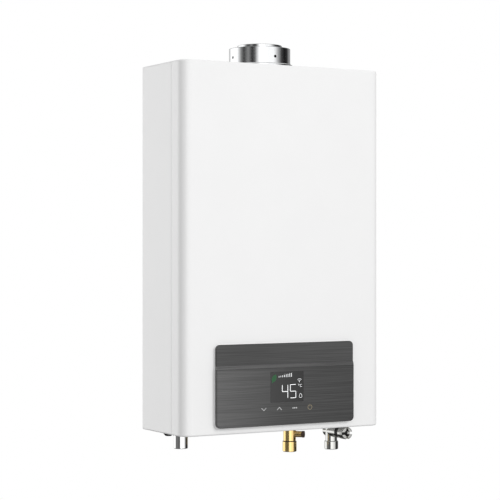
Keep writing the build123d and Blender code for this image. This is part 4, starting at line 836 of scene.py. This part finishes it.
class HEATER_OT_add_figures(bpy.types.Operator):
    """Light the temperature figures, the rising scale and the small marks of the display."""

    bl_idname = "heater.add_figures"
    bl_label = "Add display figures"

    def execute(self, context):
        s = sizes()
        white = lit_figure("lit white segment", list(colours().figures), strength=0.8)
        bm = bmesh.new()
        add_digit(bm, s.digit_left, ["upper left", "upper right", "middle", "lower right"])
        add_digit(bm, s.digit_right, ["top", "upper left", "middle", "lower right", "bottom"])
        finish_marks(bm, "temperature_figures", white)

        bm = bmesh.new()
        for i in range(s.bar_count):
            height = s.bar_low + (s.bar_high - s.bar_low) * i / max(s.bar_count - 1, 1)
            flat_bar(bm, s.bar_first + i * s.bar_pitch, s.bar_base + height / 2, s.bar_width, height)
        finish_marks(bm, "flow_scale", white)

        # Small marks down the right: link arcs, degree sign and a drop
        bm = bmesh.new()
        for radius in LINK_RADII:
            flat_arc(bm, *LINK_PLACE, radius, s.fine_stroke, -LINK_SPREAD, 2 * LINK_SPREAD, steps=10)
        flat_oval(bm, *LINK_DOT_PLACE, LINK_DOT_SIZE, LINK_DOT_SIZE)
        thin = s.fine_stroke * DEGREE_STROKE
        flat_arc(bm, *DEGREE_PLACE, DEGREE_RADIUS, thin, 0.0, 2 * math.pi, steps=12)
        flat_arc(bm, *CELSIUS_PLACE, CELSIUS_RADIUS, s.fine_stroke, CELSIUS_START, CELSIUS_SWEEP, steps=14)
        flat_drop(bm, *DROP_PLACE, DROP_RADIUS, s.fine_stroke, DROP_OPENING)
        finish_marks(bm, "display_marks", white)

        green = lit_figure("lit green segment", list(colours().eco_mark), strength=0.1)
        bm = bmesh.new()
        flat_leaf(bm, *LEAF_PLACE, LEAF_WIDTH, LEAF_HEIGHT, LEAF_TURN)
        finish_marks(bm, "leaf_mark", green)
        return {"FINISHED"}


class HEATER_OT_add_touch_marks(bpy.types.Operator):
    """Print the arrows, the dots and the power ring of the touch fields."""

    bl_idname = "heater.add_touch_marks"
    bl_label = "Add touch marks"

    def execute(self, context):
        s = sizes()
        pale = screen_print("pale screen print", list(colours().prints))
        amber = screen_print("amber screen print", list(colours().power))
        down, up, dots, power = [(i - 1.5) * s.touch_pitch for i in range(4)]
        bm = bmesh.new()
        for x, way in ((down, 1), (up, -1)):
            flat_chevron(bm, x, s.touch_level, s.chevron_width, s.chevron_height, s.mark_stroke, way)
        finish_marks(bm, "arrow_marks", pale)

        bm = bmesh.new()
        for i in (-1, 0, 1):
            flat_oval(bm, dots + i * DOT_PITCH, s.touch_level, DOT_SIZE, DOT_SIZE)
        finish_marks(bm, "timer_dots", pale)

        bm = bmesh.new()
        flat_arc(bm, power, s.touch_level, s.power_radius, s.mark_stroke, POWER_OPENING,
                 2 * (math.pi - POWER_OPENING), steps=40)
        flat_bar(bm, power, s.touch_level + s.power_radius * POWER_BAR_RISE, s.mark_stroke, s.power_radius)
        finish_marks(bm, "power_mark", amber)
        return {"FINISHED"}


class HEATER_OT_dress_flue(bpy.types.Operator):
    """Polish the flue collar and the inner tube."""

    bl_idname = "heater.dress_flue"
    bl_label = "Dress flue"

    def execute(self, context):
        dress(["polished_collar"])
        dress_node("exhaust_spigot", flue_steel_painted_shade())
        return {"FINISHED"}


class HEATER_OT_dress_fittings(bpy.types.Operator):
    """Finish the plated water fittings and the brass gas fitting."""

    bl_idname = "heater.dress_fittings"
    bl_label = "Dress fittings"

    def execute(self, context):
        dress(["chrome_plate", "brass"])
        dress_node("gas_inlet_fitting", gas_brass())
        dress_node("inlet_valve_body", nickel_plate("nickel plate"))
        dress_node("inlet_knob", knob_plate_recess_shade())
        return {"FINISHED"}


class HEATER_OT_dress_works(bpy.types.Operator):
    """Finish the exchanger, the gas valve, the sensors and the electrics inside the casing."""

    bl_idname = "heater.dress_works"
    bl_label = "Dress inner works"

    def execute(self, context):
        dress(["copper", "cast_aluminium", "plunger_iron", "motor_shell", "black_plastic", "pale_plastic",
               "white_ceramic"])
        dress_node("controller_board", loaded_laminate())
        return {"FINISHED"}


class HEATER_OT_add_weld_spots(bpy.types.Operator):
    """Add the weld spots that hold the wall brackets to the pan."""

    bl_idname = "heater.add_weld_spots"
    bl_label = "Add weld spots"

    count: IntProperty(name="Spots", description="Weld spots on each bracket", default=6, min=2)

    def execute(self, context):
        face = pan_high.y + BRACKET_PLATE
        level = bracket_low.z + WELD_RISE
        reach = bracket_high.x - WELD_MARGIN
        bm = bmesh.new()
        for i in range(self.count):
            x = -reach + 2 * reach * i / (self.count - 1)
            for z in (level, -level):
                shape = Matrix.Translation((x, face, z)) @ Matrix.Rotation(-math.pi / 2, 4, "X")
                made = bmesh.ops.create_circle(
                    bm, cap_ends=True, segments=ROUND_SEGMENTS, radius=WELD_RADIUS, matrix=shape)
                disc = list({f for v in made["verts"] for f in v.link_faces})
                bmesh.ops.inset_region(bm, faces=disc, thickness=WELD_SHOULDER, depth=WELD_HEIGHT)
        spot = speckled("welded zinc", colours().weld, colours().weld_burn, 1.5,
                        {"Metallic": 1.0, "Roughness": 0.45}, 0.05)
        finish_piece(bm, "bracket_weld_spots", spot)
        return {"FINISHED"}


class HEATER_OT_set_stage(bpy.types.Operator):
    """Set the floor, the reflection tent, the soft boxes, the surround and the camera."""

    bl_idname = "heater.set_stage"
    bl_label = "Set stage"

    def execute(self, context):
        stage = context.scene.heater_stage
        context.scene.view_settings.view_transform = "Standard"
        self.add_floor(stage)
        self.add_tent(stage)
        self.add_lamp("key soft box", power=stage.key_power, **KEY_BOX)
        self.add_lamp("rear soft box", power=stage.rim_power, **REAR_BOX)
        self.add_surround(stage)
        self.add_camera(stage)
        return {"FINISHED"}

    def add_floor(self, stage):
        """Pale floor below the hung heater."""
        tones = colours()
        paper = speckled("pale floor paper", tones.paper, tones.paper_shade, 40.0, {"Roughness": 0.9}, 0.05)
        # The camera sees the paper pale, and the heater gets less light from below.
        tree = paper.node_tree
        path = add_node(tree, "LightPath")
        dim = add_node(tree, "BsdfDiffuse", {"Color": tones.paper_bounce})
        add_node(tree, "MixShader",
                 {0: path.outputs["Is Camera Ray"], 1: dim, 2: tree.nodes["Principled BSDF"]},
                 {"Shader": tree.nodes["Material Output"].inputs["Surface"]})
        place = Matrix.Translation((0.0, 0.0, stage.floor_level)) @ Matrix.Scale(stage.floor_size, 4)
        bm = bmesh.new()
        bmesh.ops.create_grid(bm, x_segments=1, y_segments=1, size=0.5, matrix=place)
        floor = make_object(bm, "floor", paper)
        floor.visible_glossy = False

    def add_tent(self, stage):
        """Round screen that only shiny metal shows: white in front, with dark flags at both sides."""
        half = stage.tent_height / 2
        bm = bmesh.new()
        middle = bm.verts.new((0.0, -TENT_POLE, -half))
        low = bm.verts.new((0.0, -stage.tent_radius, -half))
        high = bm.verts.new((0.0, -stage.tent_radius, half))
        sides = [bm.edges.new((middle, low)), bm.edges.new((low, high))]
        bmesh.ops.spin(bm, geom=[middle, low, high, *sides], axis=(0.0, 0.0, 1.0), angle=2 * math.pi,
                       steps=TENT_STEPS, use_merge=True)
        bm.normal_update()
        for face in bm.faces:
            face.material_index = int(abs(face.normal.z) > 0.5)
        tent = make_object(bm, "reflection_tent", self.tent_cloth(), self.tent_floor())
        tent.visible_camera = False
        tent.visible_diffuse = False
        tent.visible_shadow = False
        tent.visible_transmission = False

    def new_glow(self, name):
        """Start a material that only glows."""
        material = bpy.data.materials.new(name)
        material.use_nodes = True
        tree = material.node_tree
        tree.nodes.clear()
        place = add_node(tree, "TexCoord")
        axes = add_node(tree, "SeparateXYZ", {"Vector": place.outputs["Object"]})
        glow = add_node(tree, "Emission")
        add_node(tree, "OutputMaterial", {"Surface": glow})
        return material, tree, axes, glow

    def tent_cloth(self):
        """Glow of the tent by bearing from the heater's front, with soft flags left and right."""
        material, tree, axes, glow = self.new_glow("tent cloth")
        front = add_node(tree, "Math", {0: axes.outputs["Y"], 1: -1.0}, operation="MULTIPLY")
        turn = add_node(tree, "Math", {0: axes.outputs["X"], 1: front}, operation="ARCTAN2")
        part = add_node(tree, "MapRange", {"Value": turn, "From Min": -math.pi, "From Max": math.pi})
        ramp = add_node(tree, "ValToRGB", {"Fac": part}, {"Color": glow.inputs["Color"]})
        stops = ramp.color_ramp.elements
        for bearing, level in TENT_GLOW[1:-1]:
            stops.new((bearing + 180) / 360)
        for stop, (bearing, level) in zip(stops, TENT_GLOW):
            stop.color = (level, level, level, 1.0)
        # Above and below the heater the cloth goes over to the dark of the room.
        top = add_node(tree, "MapRange", {"Value": axes.outputs["Z"], **TENT_TOP})
        foot = add_node(tree, "MapRange", {"Value": axes.outputs["Z"], **TENT_FOOT})
        add_node(tree, "Math", {0: top, 1: foot}, {"Value": glow.inputs["Strength"]}, operation="MINIMUM")
        return material

    def tent_floor(self):
        """Glow of the tent's floor, which fades from the front to the dark under and behind the heater."""
        material, tree, axes, glow = self.new_glow("tent floor")
        add_node(tree, "MapRange", {"Value": axes.outputs["Y"], **TENT_FLOOR},
                 {"Result": glow.inputs["Strength"]})
        return material

    def add_lamp(self, name, power, azimuth, elevation, distance, size):
        """Soft box that faces the heater, by its bearing from the front and its height."""
        data = bpy.data.lights.new(name, "AREA")
        data.shape = "SQUARE"
        data.size = size
        data.energy = power
        lamp = bpy.data.objects.new(name, data)
        turn = math.radians(azimuth)
        rise = math.radians(elevation)
        aim = Vector((math.sin(turn) * math.cos(rise), -math.cos(turn) * math.cos(rise), math.sin(rise)))
        lamp.location = aim * distance
        lamp.rotation_euler = aim.to_track_quat("Z", "Y").to_euler()
        lamp.visible_glossy = False
        bpy.context.scene.collection.objects.link(lamp)

    def add_surround(self, stage):
        """White surround for the camera and the metal, and a softer one that lights the heater."""
        world = bpy.data.worlds.new("white surround")
        world.use_nodes = True
        tree = world.node_tree
        white = tree.nodes["Background"]
        white.inputs["Color"].default_value = (1.0, 1.0, 1.0, 1.0)
        white.inputs["Strength"].default_value = 1.0
        soft = add_node(tree, "Background", {"Color": (1.0, 1.0, 1.0, 1.0), "Strength": stage.ambient})
        path = add_node(tree, "LightPath")
        shown = add_node(tree, "Math", {0: path.outputs["Is Camera Ray"], 1: path.outputs["Is Glossy Ray"]},
                         operation="MAXIMUM")
        seen = add_node(tree, "Math", {0: shown, 1: path.outputs["Is Transmission Ray"]},
                        operation="MAXIMUM")
        add_node(tree, "MixShader", {0: seen, 1: soft, 2: white},
                 {"Shader": tree.nodes["World Output"].inputs["Surface"]})
        bpy.context.scene.world = world

    def add_camera(self, stage):
        """Camera at the photograph's place, level with the heater."""
        camera = bpy.data.objects.new("camera", bpy.data.cameras.new("camera"))
        camera.location = stage.camera_place
        camera.rotation_euler = (math.pi / 2, 0.0, stage.camera_turn)
        camera.data.lens = stage.camera_lens
        camera.data.sensor_width = 36.0
        camera.data.clip_end = 50.0
        bpy.context.scene.collection.objects.link(camera)
        bpy.context.scene.camera = camera


OPERATORS = (
    HEATER_OT_dress_casing,
    HEATER_OT_dress_panel,
    HEATER_OT_add_figures,
    HEATER_OT_add_touch_marks,
    HEATER_OT_dress_flue,
    HEATER_OT_dress_fittings,
    HEATER_OT_dress_works,
    HEATER_OT_add_weld_spots,
    HEATER_OT_set_stage,
)


class HEATER_PT_sidebar(bpy.types.Panel):
    """Sidebar list of the steps and settings."""

    bl_idname = "HEATER_PT_sidebar"
    bl_label = "Gas water heater"
    bl_space_type = "VIEW_3D"
    bl_region_type = "UI"
    bl_category = "Heater"

    def draw(self, context):
        for operator in OPERATORS:
            self.layout.operator(operator.bl_idname)
        scene = context.scene
        for group in (scene.heater_colours, scene.heater_display, scene.heater_stage):
            box = self.layout.box()
            for name in group.bl_rna.properties.keys():
                if name not in ("rna_type", "name"):
                    box.prop(group, name)


CLASSES = (HeaterColours, DisplaySizes, StageSizes, *OPERATORS, HEATER_PT_sidebar)


def register():
    """Register the classes and their settings."""
    for item in CLASSES:
        bpy.utils.register_class(item)
    bpy.types.Scene.heater_colours = PointerProperty(type=HeaterColours)
    bpy.types.Scene.heater_display = PointerProperty(type=DisplaySizes)
    bpy.types.Scene.heater_stage = PointerProperty(type=StageSizes)


def unregister():
    """Remove the settings and the classes."""
    del bpy.types.Scene.heater_stage
    del bpy.types.Scene.heater_display
    del bpy.types.Scene.heater_colours
    for item in reversed(CLASSES):
        bpy.utils.unregister_class(item)


def main():
    """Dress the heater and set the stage."""
    register()
    bpy.ops.heater.dress_casing()
    bpy.ops.heater.dress_panel()
    bpy.ops.heater.add_figures()
    bpy.ops.heater.add_touch_marks()
    bpy.ops.heater.dress_flue()
    bpy.ops.heater.dress_fittings()
    bpy.ops.heater.dress_works()
    bpy.ops.heater.add_weld_spots()
    bpy.ops.heater.set_stage()


if __name__ == "__main__":
    main()
